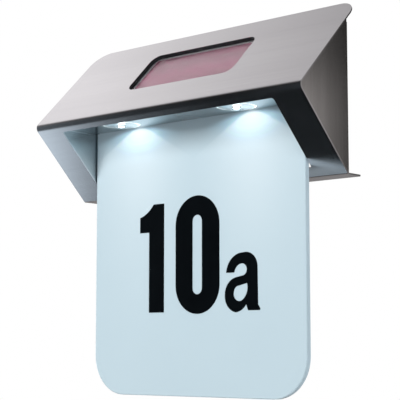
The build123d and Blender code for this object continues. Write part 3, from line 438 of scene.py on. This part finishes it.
def boardFinish():
    look = boardLook
    material, tree, shader = newMaterial("boardLacquer", look)
    tracks = addNode(tree, "ShaderNodeTexBrick", {"Vector": place(tree), "Scale": look["tracks"],
                                                  "Mortar Size": look["trackWidth"], "Color1": (0, 0, 0),
                                                  "Color2": (0, 0, 0), "Mortar": (1, 1, 1)}).outputs["Color"]
    weave = addNode(tree, "ShaderNodeTexVoronoi", {"Vector": place(tree), "Scale": look["weaveScale"]}).outputs[0]
    color = blendColor(tree, tracks, look["lacquer"], look["track"])
    color = blendColor(tree, times(tree, weave, look["weaveShare"]), color, look["weave"])
    dress(tree, shader, look, color, spread(tree, weave, 0.0, 1.0, *look["rough"]), tracks)
    return material


# reflector cups: vacuum-coated plastic with a faint haze
cupLook = {"metal": 1.0, "dark": (0.78, 0.81, 0.83), "light": (0.90, 0.92, 0.94), "haze": 300.0, "hazeDetail": 4.0,
    "rough": (0.06, 0.14), "bump": 0.03, "depth": 0.0002}


def brightCupFinish():
    look = cupLook
    material, tree, shader = newMaterial("cupBright", look)
    haze = noise(tree, place(tree), look["haze"], look["hazeDetail"])
    shade = blendColor(tree, haze, look["dark"], look["light"])
    dress(tree, shader, look, shade, fromNoise(tree, haze, *look["rough"]), haze)
    return material


# diodes: clear body, brightest over the die in its middle
diodeLook = {"body": (0.85, 0.92, 0.96), "glow": (0.86, 0.97, 1.0), "strength": 16.0, "die": 0.0006, "dark": 0.0015,
    "least": 0.03, "cloud": 500.0, "rough": (0.15, 0.25), "bump": 0.02, "depth": 0.0001, "ior": 1.5}


def diodeFinish():
    look = diodeLook
    material, tree, shader = newMaterial("diodeLit", look)
    away = useGroup(tree, lampDistance)["Away"]
    cloud = noise(tree, place(tree), look["cloud"])
    share = spread(tree, away, look["die"], look["dark"], 1.0, look["least"])
    plug(tree, shader.inputs["Emission Color"], blendColor(tree, share, (0, 0, 0), look["glow"]))
    dress(tree, shader, look, look["body"], fromNoise(tree, cloud, *look["rough"]), cloud)
    return material


# leads: red insulation past a place along an axis, black before it
leadLook = {"red": (0.30, 0.012, 0.010), "black": (0.014, 0.014, 0.015), "worn": (0.5, 0.45, 0.42), "wornShare": 0.06,
    "cloud": 500.0, "rough": (0.3, 0.45), "bump": 0.1, "depth": 0.0001, "ior": 1.5}
leadSplits = {"lampWire": ("Y", -0.03198), "solarWire": ("X", -0.012), "batteryWire": ("X", 0.009),
    "switchWire": ("X", -1.0)}


def leadFinish(name):
    look = leadLook
    axis, split = leadSplits[name]
    material, tree, shader = newMaterial(name, look)
    side = combine(tree, "GREATER_THAN", axesOf(tree)[axis], split)
    cloud = noise(tree, place(tree), look["cloud"])
    shade = blendColor(tree, side, look["black"], look["red"])
    color = blendColor(tree, times(tree, cloud, look["wornShare"]), shade, look["worn"])
    dress(tree, shader, look, color, fromNoise(tree, cloud, *look["rough"]), cloud)
    return material


# battery: green sleeve, a pale band and the bare cap end, told apart by the place along the cell
batteryLook = {"sleeve": (0.02, 0.16, 0.05), "band": (0.70, 0.71, 0.70), "can": (0.72, 0.71, 0.68), "bandFrom": 0.0155,
    "sleeveEnd": 0.0268, "worn": (0.4, 0.4, 0.38), "wornShare": 0.06, "cloud": 200.0, "rough": (0.24, 0.34),
    "bump": 0.05, "depth": 0.0001, "ior": 1.5, "coat": 0.5, "coatRough": 0.1}


def batteryFinish():
    look = batteryLook
    material, tree, shader = newMaterial("batterySleeve", look)
    along = axesOf(tree)["X"]
    bare = combine(tree, "GREATER_THAN", along, look["sleeveEnd"])
    cloud = noise(tree, place(tree), look["cloud"])
    color = blendColor(tree, combine(tree, "GREATER_THAN", along, look["bandFrom"]), look["sleeve"], look["band"])
    color = blendColor(tree, bare, color, look["can"])
    color = blendColor(tree, times(tree, cloud, look["wornShare"]), color, look["worn"])
    plug(tree, shader.inputs["Metallic"], bare)
    dress(tree, shader, look, color, fromNoise(tree, cloud, *look["rough"]), cloud)
    return material


steels = {name: steelFinish(name) for name in steelLooks}
plastics = {name: plasticFinish(name) for name in plasticLooks}
wires = {name: leadFinish(name) for name in leadSplits}
cupBright = brightCupFinish()
lampLens = lensFinish()
boardLacquer = boardFinish()
diodeLit = diodeFinish()
fasteners = steels["fastenerSteel"]
finishes = {
    "roof_cover": steels["hoodSteel"], "cheek_left": steels["cheekSteel"], "cheek_right": steels["cheekSteel"],
    "light_box": steels["boxSteel"], "hang_rail": steels["railSteel"], "wall_plate": steels["plateSteel"],
    "panel_clamps": steels["railSteel"], "panel_screws": fasteners, "panel_nuts": fasteners,
    "case_screws": fasteners, "case_nuts": fasteners, "reflector_nuts": fasteners, "board_nuts": fasteners,
    "hinge_pin": fasteners, "contact_plate": steels["contactNickel"], "battery_spring": steels["contactNickel"],
    "house_panel": panelFinish(), "digit_one": plastics["filmBlack"], "digit_zero": plastics["filmBlack"],
    "letter_a": plastics["filmBlack"], "lens_left": lampLens, "lens_right": lampLens,
    "reflector_left": cupBright, "reflector_right": cupBright, "led_left": diodeLit, "led_right": diodeLit,
    "led_board_left": boardLacquer, "led_board_right": boardLacquer, "circuit_board": boardLacquer,
    "window_gasket": plastics["gasketRubber"], "solar_pane": paneFinish(), "solar_cell": cellFinish(),
    "solar_backing": plastics["backingWhite"], "board_spacers": plastics["spacerNylon"],
    "controller_chip": plastics["chipResin"], "choke_coil": plastics["coilFerrite"],
    "capacitor": plastics["capacitorSleeve"], "battery_case": plastics["caseBlack"],
    "battery_door": plastics["doorBlack"], "battery": batteryFinish(), "switch_body": plastics["switchBlack"],
    "switch_slider": plastics["sliderWhite"], "solar_leads": wires["solarWire"], "led_leads_left": wires["lampWire"],
    "led_leads_right": wires["lampWire"], "battery_leads": wires["batteryWire"], "switch_leads": wires["switchWire"],
}
for name, material in finishes.items():
    for held in nodes[name].material_slots:
        held.material = material
print("finishes on", len(finishes), "of", len(nodes), "nodes")


# surfaces: rows run along a profile, columns run round it, all points are worked out as whole arrays
def layGrid(points, closeRows=False, closeColumns=True):
    rows, columns = points.shape[:2]
    i, j = np.meshgrid(np.arange(rows if closeRows else rows - 1),
                       np.arange(columns if closeColumns else columns - 1), indexing="ij")
    iNext, jNext = (i + 1) % rows, (j + 1) % columns
    quads = np.stack([i * columns + j, iNext * columns + j, iNext * columns + jNext, i * columns + jNext], axis=-1)
    return points.reshape(-1, 3), quads.reshape(-1, 4)


def makePiece(name, grids, material, body, slot, hides=(), smooth=True, closeRows=False):
    # several grids of one shape become one piece; a row that has shrunk to a point is merged into a pole
    corners, faces, count = [], [], 0
    for grid in grids:
        flat, quads = layGrid(grid, closeRows)
        corners.append(flat)
        faces.append(quads + count)
        count += len(flat)
    corners, faces = np.concatenate(corners), np.concatenate(faces)
    mesh = bpy.data.meshes.new(name)
    mesh.from_pydata(corners.tolist(), [], faces.tolist())
    welded = bmesh.new()
    welded.from_mesh(mesh)
    bmesh.ops.remove_doubles(welded, verts=welded.verts, dist=weldWithin)
    bmesh.ops.recalc_face_normals(welded, faces=welded.faces)
    welded.to_mesh(mesh)
    welded.free()
    mesh.polygons.foreach_set("use_smooth", np.full(len(mesh.polygons), smooth))
    if smooth:
        mesh.set_sharp_from_angle(angle=math.radians(sharpFrom))
    mesh.materials.append(material)
    piece = linkObject(name, mesh)
    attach(piece, body)
    if hides:
        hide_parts(*hides)
    return piece


def angles(columns):
    return np.arange(columns) * 2 * np.pi / columns


def rings(radius, height, angle):
    # points at their radius and height for each angle round the upright axis
    radius, height, angle = np.broadcast_arrays(radius, height, angle)
    return np.stack([radius * np.cos(angle), radius * np.sin(angle), height], axis=-1)


def turned(profile, columns, centre=(0, 0, 0)):
    # profile of radius and height turned round an upright axis
    profile = np.asarray(profile, float)
    return rings(profile[:, :1], profile[:, 1:], angles(columns)) + np.asarray(centre)


def facing(grid, centre, direction):
    # a grid built round the upright axis is laid along another axis and moved to its place
    turns = {"up": ((1, 0, 0), (0, 1, 0), (0, 0, 1)), "rear": ((0, 0, 1), (1, 0, 0), (0, 1, 0)),
             "front": ((1, 0, 0), (0, 0, 1), (0, -1, 0)), "right": ((0, 1, 0), (0, 0, 1), (1, 0, 0))}
    return grid @ np.array(turns[direction], float) + np.asarray(centre)


# screws: domed head with a cross recess, and a thread that climbs by the pitch at each turn, in millimetres
screwLook = {"head": 2.75, "high": 2.0, "dome": 0.7, "cross": 0.42, "crossSoft": 0.12, "reach": 1.6, "reachSoft": 0.5,
    "depth": 1.1, "headRings": 15, "edgeHigh": 0.35, "edgeIn": 0.25, "shank": 1.5, "pitch": 0.5, "thread": 0.28,
    "rowsPerTurn": 6, "tip": 0.5, "tipShare": 0.65, "columns": 40}
screwSets = {
    "panelScrews": {"length": 8.1, "x": (-60, 60), "y": -17.8, "z": -15, "way": "rear", "hides": "panel_screws"},
    "caseScrews": {"length": 6.2, "x": (-18, 18), "y": -16.2, "z": 0, "way": "front", "hides": "case_screws"},
}


def screwGrid(length):
    # head height is the height less the dome times the radius squared, and the cross sinks where both arms meet
    look = screwLook
    angle = angles(look["columns"])
    share = np.linspace(0, 1, look["headRings"])[:, None]
    radius = share * look["head"]
    x, y = radius * np.cos(angle), radius * np.sin(angle)
    narrow = np.minimum(np.abs(x), np.abs(y))
    wide = np.maximum(np.abs(x), np.abs(y))
    sink = np.clip((look["cross"] - narrow) / look["crossSoft"], 0, 1)
    sink = sink * np.clip((look["reach"] - wide) / look["reachSoft"], 0, 1)
    top = np.stack([x, y, look["high"] - look["dome"] * share ** 2 - look["depth"] * sink], axis=-1)
    rows = int(length / look["pitch"] * look["rowsPerTurn"])
    heights = np.linspace(0, -length + look["tip"], rows)[:, None]
    climb = 0.5 - 0.5 * np.cos(2 * np.pi * heights / look["pitch"] - angle)
    body = rings(look["shank"] - look["thread"] * climb, heights, angle)
    neck = turned([(look["head"], look["edgeHigh"]), (look["head"] - look["edgeIn"], 0.0)], look["columns"])
    tip = turned([(look["shank"] * look["tipShare"], -length), (0, -length)], look["columns"])
    return np.concatenate([top, neck, body, tip]) * mm


# nuts: six flats whose corners are turned off by a cone, round a threaded bore, in millimetres
nutLook = {"pitch": 0.5, "thread": 0.2, "threadRows": 18, "threadIn": 0.2, "mouth": 0.3, "face": 0.97, "cone": 0.577,
    "columns": 48}
nutSets = {
    "panelNuts": {"size": (3.1, 2.4, 1.55), "x": (-60, 60), "y": -24.1, "z": -15, "way": "front",
        "hides": "panel_nuts"},
    "caseNuts": {"size": (3.1, 2.4, 1.55), "x": (-18, 18), "y": -11.8, "z": 0, "way": "front", "hides": "case_nuts"},
    "reflectorNuts": {"size": (2.5, 2.0, 1.3), "x": (-59, -29, 29, 59), "y": lampY, "z": -17.1, "way": "up",
        "hides": "reflector_nuts"},
    "boardNuts": {"size": (2.5, 2.0, 1.3), "x": (-20, 20), "y": lampY, "z": -14.6, "way": "up", "hides": "board_nuts"},
}


def nutGrid(corner, height, bore):
    # flat's distance is the corner radius times the cosine of 30 degrees over the cosine of the angle in its sixth
    look = nutLook
    angle = angles(look["columns"])
    apothem = corner * math.cos(math.pi / 6)
    side = apothem / np.cos(np.mod(angle, np.pi / 3) - np.pi / 6)
    face = np.full_like(angle, apothem * look["face"])
    mouth = np.full_like(angle, bore + look["mouth"])
    top = np.full_like(angle, height / 2)
    edge = top - (side - face) * look["cone"]
    heights = np.linspace(-height / 2 + look["threadIn"], height / 2 - look["threadIn"], look["threadRows"])[:, None]
    inner = bore + look["thread"] * (0.5 - 0.5 * np.cos(2 * np.pi * heights / look["pitch"] - angle))
    outer = rings(np.array([mouth, face, side, side, face, mouth]), np.array([top, top, edge, -edge, -top, -top]),
                  angle)
    return np.concatenate([outer, rings(inner, heights, angle)]) * mm


def fasten(name, look, grid, **settings):
    # one fastener at each place, all laid the same way
    spots = [(x * mm, look["y"] * mm, look["z"] * mm) for x in look["x"]]
    makePiece(name, [facing(grid, spot, look["way"]) for spot in spots], fasteners, "lamp", "fastener_steel",
              [look["hides"]], **settings)


for name, look in screwSets.items():
    fasten(name, look, screwGrid(look["length"]))
for name, look in nutSets.items():
    fasten(name, look, nutGrid(*look["size"]), smooth=False, closeRows=True)
print("screws and nuts made")

# lamp lenses: a shallow dome with a thick rim and a raised middle over the diode, as a turned profile
lensShape = {"tip": -22.35, "middle": 2.5, "gap": 0.15, "under": -21.35, "rise": 0.3, "edge": 11.5, "rimWide": 1.3,
    "rimRound": 0.9, "rimFoot": -20.35, "rimDrop": 0.75, "middleRows": 8, "domeRows": 9, "rimRows": 7, "columns": 72,
    "back": [(11.5, -20.2), (12.8, -20.2), (12.8, -19.0), (10.4, -19.0), (10.2, -19.7), (3.0, -19.9), (0, -19.9)]}


def lensGrid(x):
    # middle is a quarter ellipse; the dome rises with the square of the radius; the rim is a quarter round
    look = lensShape
    turn = np.linspace(0, np.pi / 2, look["middleRows"] + 1)[:-1]
    middle = np.stack([look["middle"] * np.sin(turn), look["under"] + (look["tip"] - look["under"]) * np.cos(turn)], 1)
    out = np.linspace(look["middle"] + look["gap"], look["edge"] - look["rimWide"], look["domeRows"])
    dome = np.stack([out, look["under"] + look["rise"] * (out / look["edge"]) ** 2], 1)
    bend = np.linspace(0, np.pi / 2, look["rimRows"])
    rim = np.stack([look["edge"] - look["rimRound"] + look["rimRound"] * np.sin(bend),
                    look["rimFoot"] - look["rimDrop"] * np.cos(bend)], 1)
    return turned(np.concatenate([middle, dome, rim, look["back"]]) * mm, look["columns"], (x * mm, lampY * mm, 0))


for side, name in ((-1, "left"), (1, "right")):
    makePiece("lampLens" + name.capitalize(), [lensGrid(side * lampX)], lampLens, "lamp", "lens_plastic",
              ["lens_" + name])

# rubber lip that lines the window down to the pane, swept round the opening, in millimetres
lipLook = {"width": 80.0, "length": 35.0, "corner": 6.0, "gap": 0.02, "thick": 0.16, "foot": 0.3, "deep": 2.28,
    "from": 0.12, "round": 0.07, "halfPane": 0.5, "cornerSteps": 9, "edgeSteps": 4}


def lipGrid():
    # path is a rounded rectangle in the roof's plane; the profile is a thin wall with a rounded upper edge
    look = lipLook
    bend = np.linspace(0, np.pi / 2, look["cornerSteps"])
    run, out = [], []
    for signX, signY, quarter in ((1, 1, 0), (-1, 1, 1), (-1, -1, 2), (1, -1, 3)):
        angle = bend + quarter * np.pi / 2
        out.append(np.stack([np.cos(angle), np.sin(angle)], 1))
        middle = (signX * (look["width"] / 2 - look["corner"]), signY * (look["length"] / 2 - look["corner"]))
        run.append(np.array(middle) + look["corner"] * out[-1])
    run, out = np.concatenate(run), np.concatenate(out)
    turn = np.linspace(0, np.pi / 2, look["edgeSteps"])
    inner = np.stack([look["thick"] - look["round"] * (1 - np.sin(turn)), look["round"] * (1 - np.cos(turn))], 1)
    profile = np.concatenate([[(look["gap"], look["deep"]), (look["gap"], 0.0)], inner,
                              [(look["foot"], look["deep"])]])
    inward, depth = profile[:, 0][:, None], profile[:, 1][:, None] + look["from"]
    flatX = run[None, :, 0] - inward * out[None, :, 0]
    flatY = run[None, :, 1] - inward * out[None, :, 1]
    low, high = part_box("solar_pane")
    middle = (np.array(low) + np.array(high)) / 2 / mm
    # pane's middle lies half its thickness under the lip's foot; the slope runs up and back at 45 degrees
    share = math.sqrt(0.5)
    rise = look["deep"] + look["from"] + look["halfPane"] - depth
    y = middle[1] + flatY * share - rise * share
    z = middle[2] + flatY * share + rise * share
    return np.stack([flatX, y, z], -1) * mm


makePiece("gasketLip", [lipGrid()], plastics["gasketRubber"], "lamp", "gasket_rubber", closeRows=True)

# mirror facets inside each cup: flat panels in rings, so a diode shows many times over, in millimetres
facetLook = {"sides": 16, "mouth": 10.9, "throat": 3.1, "bow": 1.275, "low": -18.9, "high": -10.1, "rings": 6,
    "wall": 0.12}


def facetGrid(x):
    # radius falls from mouth to throat as a straight line plus a bow that is fullest half way
    look = facetLook
    share = np.linspace(0, 1, look["rings"])
    radius = look["mouth"] + (look["throat"] - look["mouth"]) * share + look["bow"] * 4 * share * (1 - share)
    height = look["low"] + (look["high"] - look["low"]) * share
    inner = np.stack([radius, height], 1)
    outer = np.stack([radius + look["wall"], height], 1)[::-1]
    return turned(np.concatenate([inner, outer]) * mm, look["sides"], (x * mm, lampY * mm, 0))


makePiece("cupFacets", [facetGrid(-lampX), facetGrid(lampX)], cupBright, "lamp", "reflector_chrome", smooth=False,
          closeRows=True)

# resistors lying along the board's front edge: dog-bone bodies with bent legs, in millimetres
boardTop = -15.6
resistorLook = {"centres": (-14.0, -7.0, 0.0, 7.0, 14.0), "y": -43.2, "lift": 1.1, "half": 1.7, "body": 0.62,
    "swell": 0.22, "swellEnd": 0.98, "bodyEnd": 0.96, "rows": 33, "columns": 20, "lead": 0.22, "legOut": 0.3,
    "legBend": 0.5, "legRows": 6, "legSides": 12, "legInto": 0.2, "cloud": 900.0, "worn": (0.3, 0.25, 0.2),
    "wornShare": 0.1, "rough": (0.3, 0.4), "bump": 0.1, "depth": 0.0001, "ior": 1.5, "coat": 0.3, "coatRough": 0.2}
bandLook = {"at": (-0.55, -0.25, 0.05, 0.5), "half": 0.07,
    "palette": [(0.42, 0.30, 0.16), (0.05, 0.02, 0.01), (0.30, 0.02, 0.01), (0.40, 0.11, 0.01),
        (0.35, 0.24, 0.05), (0.02, 0.05, 0.20)]}


def resistorFinish():
    # buff body with four rings, read from the piece's own band attribute
    look = resistorLook
    material, tree, shader = newMaterial("resistorBody", look)
    bands = addNode(tree, "ShaderNodeAttribute", attribute_name="bandTint").outputs["Color"]
    cloud = noise(tree, place(tree), look["cloud"])
    color = blendColor(tree, times(tree, cloud, look["wornShare"]), bands, look["worn"])
    dress(tree, shader, look, color, fromNoise(tree, cloud, *look["rough"]), cloud)
    return material


def resistorGrid(x):
    # radius along the body is the body plus a swell near each end, drawn in to the lead at the ends
    look = resistorLook
    along = np.linspace(-1, 1, look["rows"])
    swell = np.clip(np.sin(np.abs(along) * np.pi * look["swellEnd"]) ** 2, 0, 1)
    radius = np.where(np.abs(along) > look["bodyEnd"], look["lead"], look["body"] + look["swell"] * swell)
    profile = np.stack([radius, along * look["half"]], 1)
    ends = [[(0, -look["half"])], profile, [(0, look["half"])]]
    grid = turned(np.concatenate(ends) * mm, look["columns"])
    return facing(grid, (x * mm, look["y"] * mm, (boardTop + look["lift"]) * mm), "right")


def wireGrid(points, radius, columns):
    # tube round a short bent wire: a ring of the radius at each point, square to the run in the X-Z plane
    path = np.asarray(points, float)
    run = np.gradient(path, axis=0)
    run /= np.linalg.norm(run, axis=1, keepdims=True)
    across = np.cross(run, (0, 1, 0))
    angle = angles(columns)
    ring = across[:, None, :] * np.cos(angle)[None, :, None] + np.array((0, 1, 0)) * np.sin(angle)[None, :, None]
    rings = path[:, None, :] + radius * ring
    first = np.broadcast_to(path[0], (1, columns, 3))
    last = np.broadcast_to(path[-1], (1, columns, 3))
    return np.concatenate([first, rings, last]) * mm


def footOf(x, side):
    # where a leg enters the board
    look = resistorLook
    return x + side * (look["half"] + look["legOut"] + look["legBend"])


def resistorLegs(x):
    # each leg runs out of the body's end, bends down by a quarter round and enters the board
    look = resistorLook
    bend = np.linspace(0, np.pi / 2, look["legRows"])
    wire = boardTop + look["lift"]
    grids = []
    for side in (-1, 1):
        start = [(x + side * look["half"], look["y"], wire)]
        turn = np.stack([x + side * (look["half"] + look["legOut"] + look["legBend"] * np.sin(bend)),
                         np.full(look["legRows"], look["y"]),
                         wire - look["legBend"] + look["legBend"] * np.cos(bend)], 1)
        foot = [(footOf(x, side), look["y"], boardTop - look["legInto"])]
        grids.append(wireGrid(np.concatenate([start, turn, foot]), look["lead"], look["legSides"]))
    return grids


def paintBands(piece):
    # each point takes the colour of the ring that it lies in, else the body's; the next resistor's rings differ
    tints = piece.data.color_attributes.new("bandTint", "FLOAT_COLOR", "POINT")
    spots = np.empty(len(piece.data.vertices) * 3)
    piece.data.vertices.foreach_get("co", spots)
    spots = spots.reshape(-1, 3)[:, 0] / mm
    centres = np.asarray(resistorLook["centres"])
    index = np.abs(spots[:, None] - centres).argmin(axis=1)
    along = (spots - centres[index]) / resistorLook["half"]
    palette = np.array(bandLook["palette"])
    ring = np.zeros(len(along), int)
    for number, where in enumerate(bandLook["at"]):
        ring = np.where(np.abs(along - where) < bandLook["half"], 1 + (number + index) % (len(palette) - 1), ring)
    tints.data.foreach_set("color", np.concatenate([palette[ring], np.ones((len(ring), 1))], axis=1).ravel())


paintBands(makePiece("boardResistors", [resistorGrid(x) for x in resistorLook["centres"]], resistorFinish(), "lamp",
                     "chip_resin"))
makePiece("resistorLegs", [grid for x in resistorLook["centres"] for grid in resistorLegs(x)], fasteners, "lamp",
          "contact_nickel")

# solder cones at every wire and leg, in millimetres
solderLook = {"radius": 1.0, "high": 0.9, "hollow": 2.2, "into": 0.05, "rows": 10, "columns": 24,
    "wires": [(-12.8, -27.98), (-11.2, -27.98), (8.2, -27.98), (9.8, -27.98), (19.7, -27.18),
        (21.3, -28.78), (-14.0, -32.78), (-14.0, -31.18), (14.0, -32.78), (14.0, -31.18)]}


def solderGrid(x, y):
    # height of the fillet falls off with the way out from the wire
    look = solderLook
    out = np.linspace(0, 1, look["rows"])
    profile = np.stack([out * look["radius"], boardTop + look["high"] * (1 - out) ** look["hollow"]], 1)
    under = [(look["radius"], boardTop - look["into"]), (0, boardTop - look["into"])]
    return turned(np.concatenate([profile, under]) * mm, look["columns"], (x * mm, y * mm, 0))


legs = [(footOf(x, side), resistorLook["y"]) for x in resistorLook["centres"] for side in (-1, 1)]
makePiece("solderJoints", [solderGrid(x, y) for x, y in solderLook["wires"] + legs], steels["contactNickel"], "lamp",
          "contact_nickel")
print("lamp and board pieces made")

# studio: floor, world, lamps and the tent that the steel mirrors, in metres
studio = {"floorZ": -0.62, "floorHalf": 3.0, "floorColor": (0.55, 0.55, 0.55), "floorRough": 0.9, "floorWhite": 0.85,
    "worldLight": 0.10, "worldTint": (0.94, 0.97, 1.0)}
lamps = {
    "keyLight": {"spot": (-0.5, -1.6, 0.52), "aim": (0, 0, -0.1), "size": 0.8, "power": 28.7,
        "color": (1.0, 0.99, 0.97)},
    "backLight": {"spot": (0.4, 1.7, 0.4), "aim": (0, 0, -0.08), "size": 1.0, "power": 24, "color": (1.0, 1.0, 1.0)},
    "fillLight": {"spot": (1.9, -0.55, -0.3), "aim": (0, 0, -0.1), "size": 1.0, "power": 22,
        "color": (0.97, 0.99, 1.0)},
}


def seenDirect(tree):
    # one for the camera, for mirrors and through glass, nothing for the light that falls on the object
    path = addNode(tree, "ShaderNodeLightPath").outputs
    return combine(tree, "MAXIMUM", path["Is Camera Ray"],
                   combine(tree, "MAXIMUM", path["Is Glossy Ray"], path["Is Transmission Ray"]))


def makeWorld():
    world = bpy.data.worlds.new("studioWorld")
    world.use_nodes = True
    tree = world.node_tree
    seen = seenDirect(tree)
    sky = tree.nodes["Background"].inputs
    plug(tree, sky["Color"], blendColor(tree, seen, studio["worldTint"], (1, 1, 1)))
    plug(tree, sky["Strength"], spread(tree, seen, 0.0, 1.0, studio["worldLight"], 1.0))
    bpy.context.scene.world = world


def makeFloor():
    half, z = studio["floorHalf"], studio["floorZ"]
    mesh = bpy.data.meshes.new("floor")
    mesh.from_pydata([(-half, -half, z), (half, -half, z), (half, half, z), (-half, half, z)], [], [(0, 1, 2, 3)])
    material, tree, shader = newMaterial("paleFloor", studio)
    plug(tree, shader.inputs["Base Color"], studio["floorColor"])
    plug(tree, shader.inputs["Roughness"], studio["floorRough"])
    white = addNode(tree, "ShaderNodeEmission", {"Color": (1, 1, 1), "Strength": 1.0})
    share = times(tree, seenDirect(tree), studio["floorWhite"])
    mix = addNode(tree, "ShaderNodeMixShader", {0: share, 1: shader.outputs[0], 2: white.outputs[0]})
    # from below the floor lets the view through
    under = addNode(tree, "ShaderNodeNewGeometry").outputs["Backfacing"]
    clear = addNode(tree, "ShaderNodeBsdfTransparent")
    both = addNode(tree, "ShaderNodeMixShader", {0: under, 1: mix.outputs[0], 2: clear.outputs[0]})
    plug(tree, tree.nodes["Material Output"].inputs["Surface"], both.outputs[0])
    mesh.materials.append(material)
    linkObject("floor", mesh)


def makeLamp(name):
    look = lamps[name]
    data = bpy.data.lights.new(name, "AREA")
    data.shape = "RECTANGLE"
    data.size = data.size_y = look["size"]
    data.energy = look["power"]
    data.color = look["color"]
    lamp = linkObject(name, data)
    lamp.location = look["spot"]
    way = np.array(look["aim"]) - np.array(look["spot"])
    tip = math.atan2(math.hypot(way[0], way[1]), -way[2])
    lamp.rotation_euler = (tip, 0, math.atan2(way[1], way[0]) - math.pi / 2)
    lamp.visible_glossy = False  # polished steel mirrors the tent instead


def onlyForMirrors(name, points, tints):
    # a sheet with a painted glow that only polished surfaces see, as a studio hangs round metal
    corners, quads = layGrid(points, closeColumns=False)
    mesh = bpy.data.meshes.new(name)
    mesh.from_pydata(corners.tolist(), [], quads.tolist())
    paint = mesh.color_attributes.new("tint", "FLOAT_COLOR", "POINT")
    paint.data.foreach_set("color", np.concatenate([tints, np.ones_like(tints[..., :1])], -1).ravel())
    material = bpy.data.materials.new(name)
    material.use_nodes = True
    tree = material.node_tree
    tint = addNode(tree, "ShaderNodeAttribute", attribute_name="tint").outputs["Color"]
    glow = addNode(tree, "ShaderNodeEmission", {"Color": tint, "Strength": 1.0})
    plug(tree, tree.nodes["Material Output"].inputs["Surface"], glow.outputs[0])
    mesh.materials.append(material)
    sheet = linkObject(name, mesh)
    sheet.visible_camera = sheet.visible_diffuse = sheet.visible_shadow = False
    sheet.visible_transmission = sheet.visible_volume_scatter = False


def ease(value, low, high):
    share = np.clip((value - low) / (high - low), 0, 1)
    return share * share * (3 - 2 * share)


# tent round the front, from under the lamp to over it: bright above, black at front left, pale at lower left and
# plain grey to the right; angles are in degrees up from straight ahead
tent = {"radius": 0.5, "left": -1.6, "right": 1.6, "columns": 161, "from": -112, "to": 125, "rows": 121,
    "topAt": -0.583, "topLevel": 1.04, "topFall": 1.38, "topLeast": 0.4, "topFrom": 38, "topTo": 84, "frontAt": -0.563,
    "frontLevel": 0.088, "frontFall": 10.5, "frontLeast": 0.004, "frontMost": 0.3, "underAt": -0.585,
    "underBefore": -0.02, "underNear": 0.45, "nearFall": 60.0, "underFar": 0.42, "farFall": 16.0, "underLeast": 0.002,
    "underMost": 1.2, "underFrom": 40, "underTo": 68, "plain": 0.5, "plainFrom": -0.06, "plainTo": 0.12,
    "ahead": -0.19, "aheadTo": -0.06, "tintAbove": (1.0, 0.99, 1.0), "tintBelow": (0.84, 1.0, 1.12), "coolFrom": -60,
    "coolTo": 0}


def makeTent():
    # a cylinder round the X axis; its tone is a function of X and of the angle up from straight ahead
    look = tent
    x, up = np.meshgrid(np.linspace(look["left"], look["right"], look["columns"]),
                        np.radians(np.linspace(look["from"], look["to"], look["rows"])))
    points = np.stack([x, -look["radius"] * np.cos(up), look["radius"] * np.sin(up)], -1)
    degrees = np.degrees(up)
    top = np.clip(look["topLevel"] - look["topFall"] * (x - look["topAt"]), look["topLeast"], look["topLevel"])
    front = look["frontLevel"] * np.exp(-look["frontFall"] * (x - look["frontAt"]))
    front = np.clip(front, look["frontLeast"], look["frontMost"])
    way = np.clip(x - look["underAt"], look["underBefore"], None)
    under = look["underNear"] * np.exp(-look["nearFall"] * way) + look["underFar"] * np.exp(-look["farFall"] * way)
    under = np.clip(under, look["underLeast"], look["underMost"])
    front = front + (look["plain"] - front) * ease(x, look["ahead"], look["aheadTo"])
    under = under + (look["plain"] - under) * ease(x, look["plainFrom"], look["plainTo"])
    level = front + (top - front) * ease(degrees, look["topFrom"], look["topTo"])
    level = level + (under - level) * ease(-degrees, look["underFrom"], look["underTo"])
    cool = ease(-degrees, look["coolFrom"], look["coolTo"])[..., None]
    tints = level[..., None] * (np.array(look["tintAbove"]) * (1 - cool) + np.array(look["tintBelow"]) * cool)
    onlyForMirrors("mirrorTent", points, tints)


# wall behind, seen only in the cheek, the flange and the ceiling: it darkens past the cheek and upwards
wallGlow = {"y": 0.1, "left": -1.2, "right": 1.2, "columns": 241, "low": -0.6, "high": 0.16, "rows": 77, "level": 0.25,
    "dark": 0.03, "darkFrom": 0.02, "darkTo": 0.11, "rise": 0.52, "riseFrom": 0.166, "riseTo": 0.209, "fade": 0.7,
    "fadeFrom": 0.0, "fadeTo": 0.045, "tint": (1.0, 0.97, 0.96)}


def makeWallGlow():
    # an upright sheet; its tone is a function of X, and past the cheek also of the height
    look = wallGlow
    x, z = np.meshgrid(np.linspace(look["left"], look["right"], look["columns"]),
                       np.linspace(look["low"], look["high"], look["rows"]))
    points = np.stack([x, np.full_like(x, look["y"]), z], -1)
    right = ease(x, look["darkFrom"], look["darkTo"])
    past = look["dark"] + look["rise"] * ease(x, look["riseFrom"], look["riseTo"])
    upper = 1 - look["fade"] * ease(z, look["fadeFrom"], look["fadeTo"])
    level = look["level"] * (1 - right) + right * past * upper
    onlyForMirrors("wallGlow", points, level[..., None] * np.array(look["tint"]))


makeWorld()
makeFloor()
makeTent()
makeWallGlow()
for name in lamps:
    makeLamp(name)
print("studio ready")
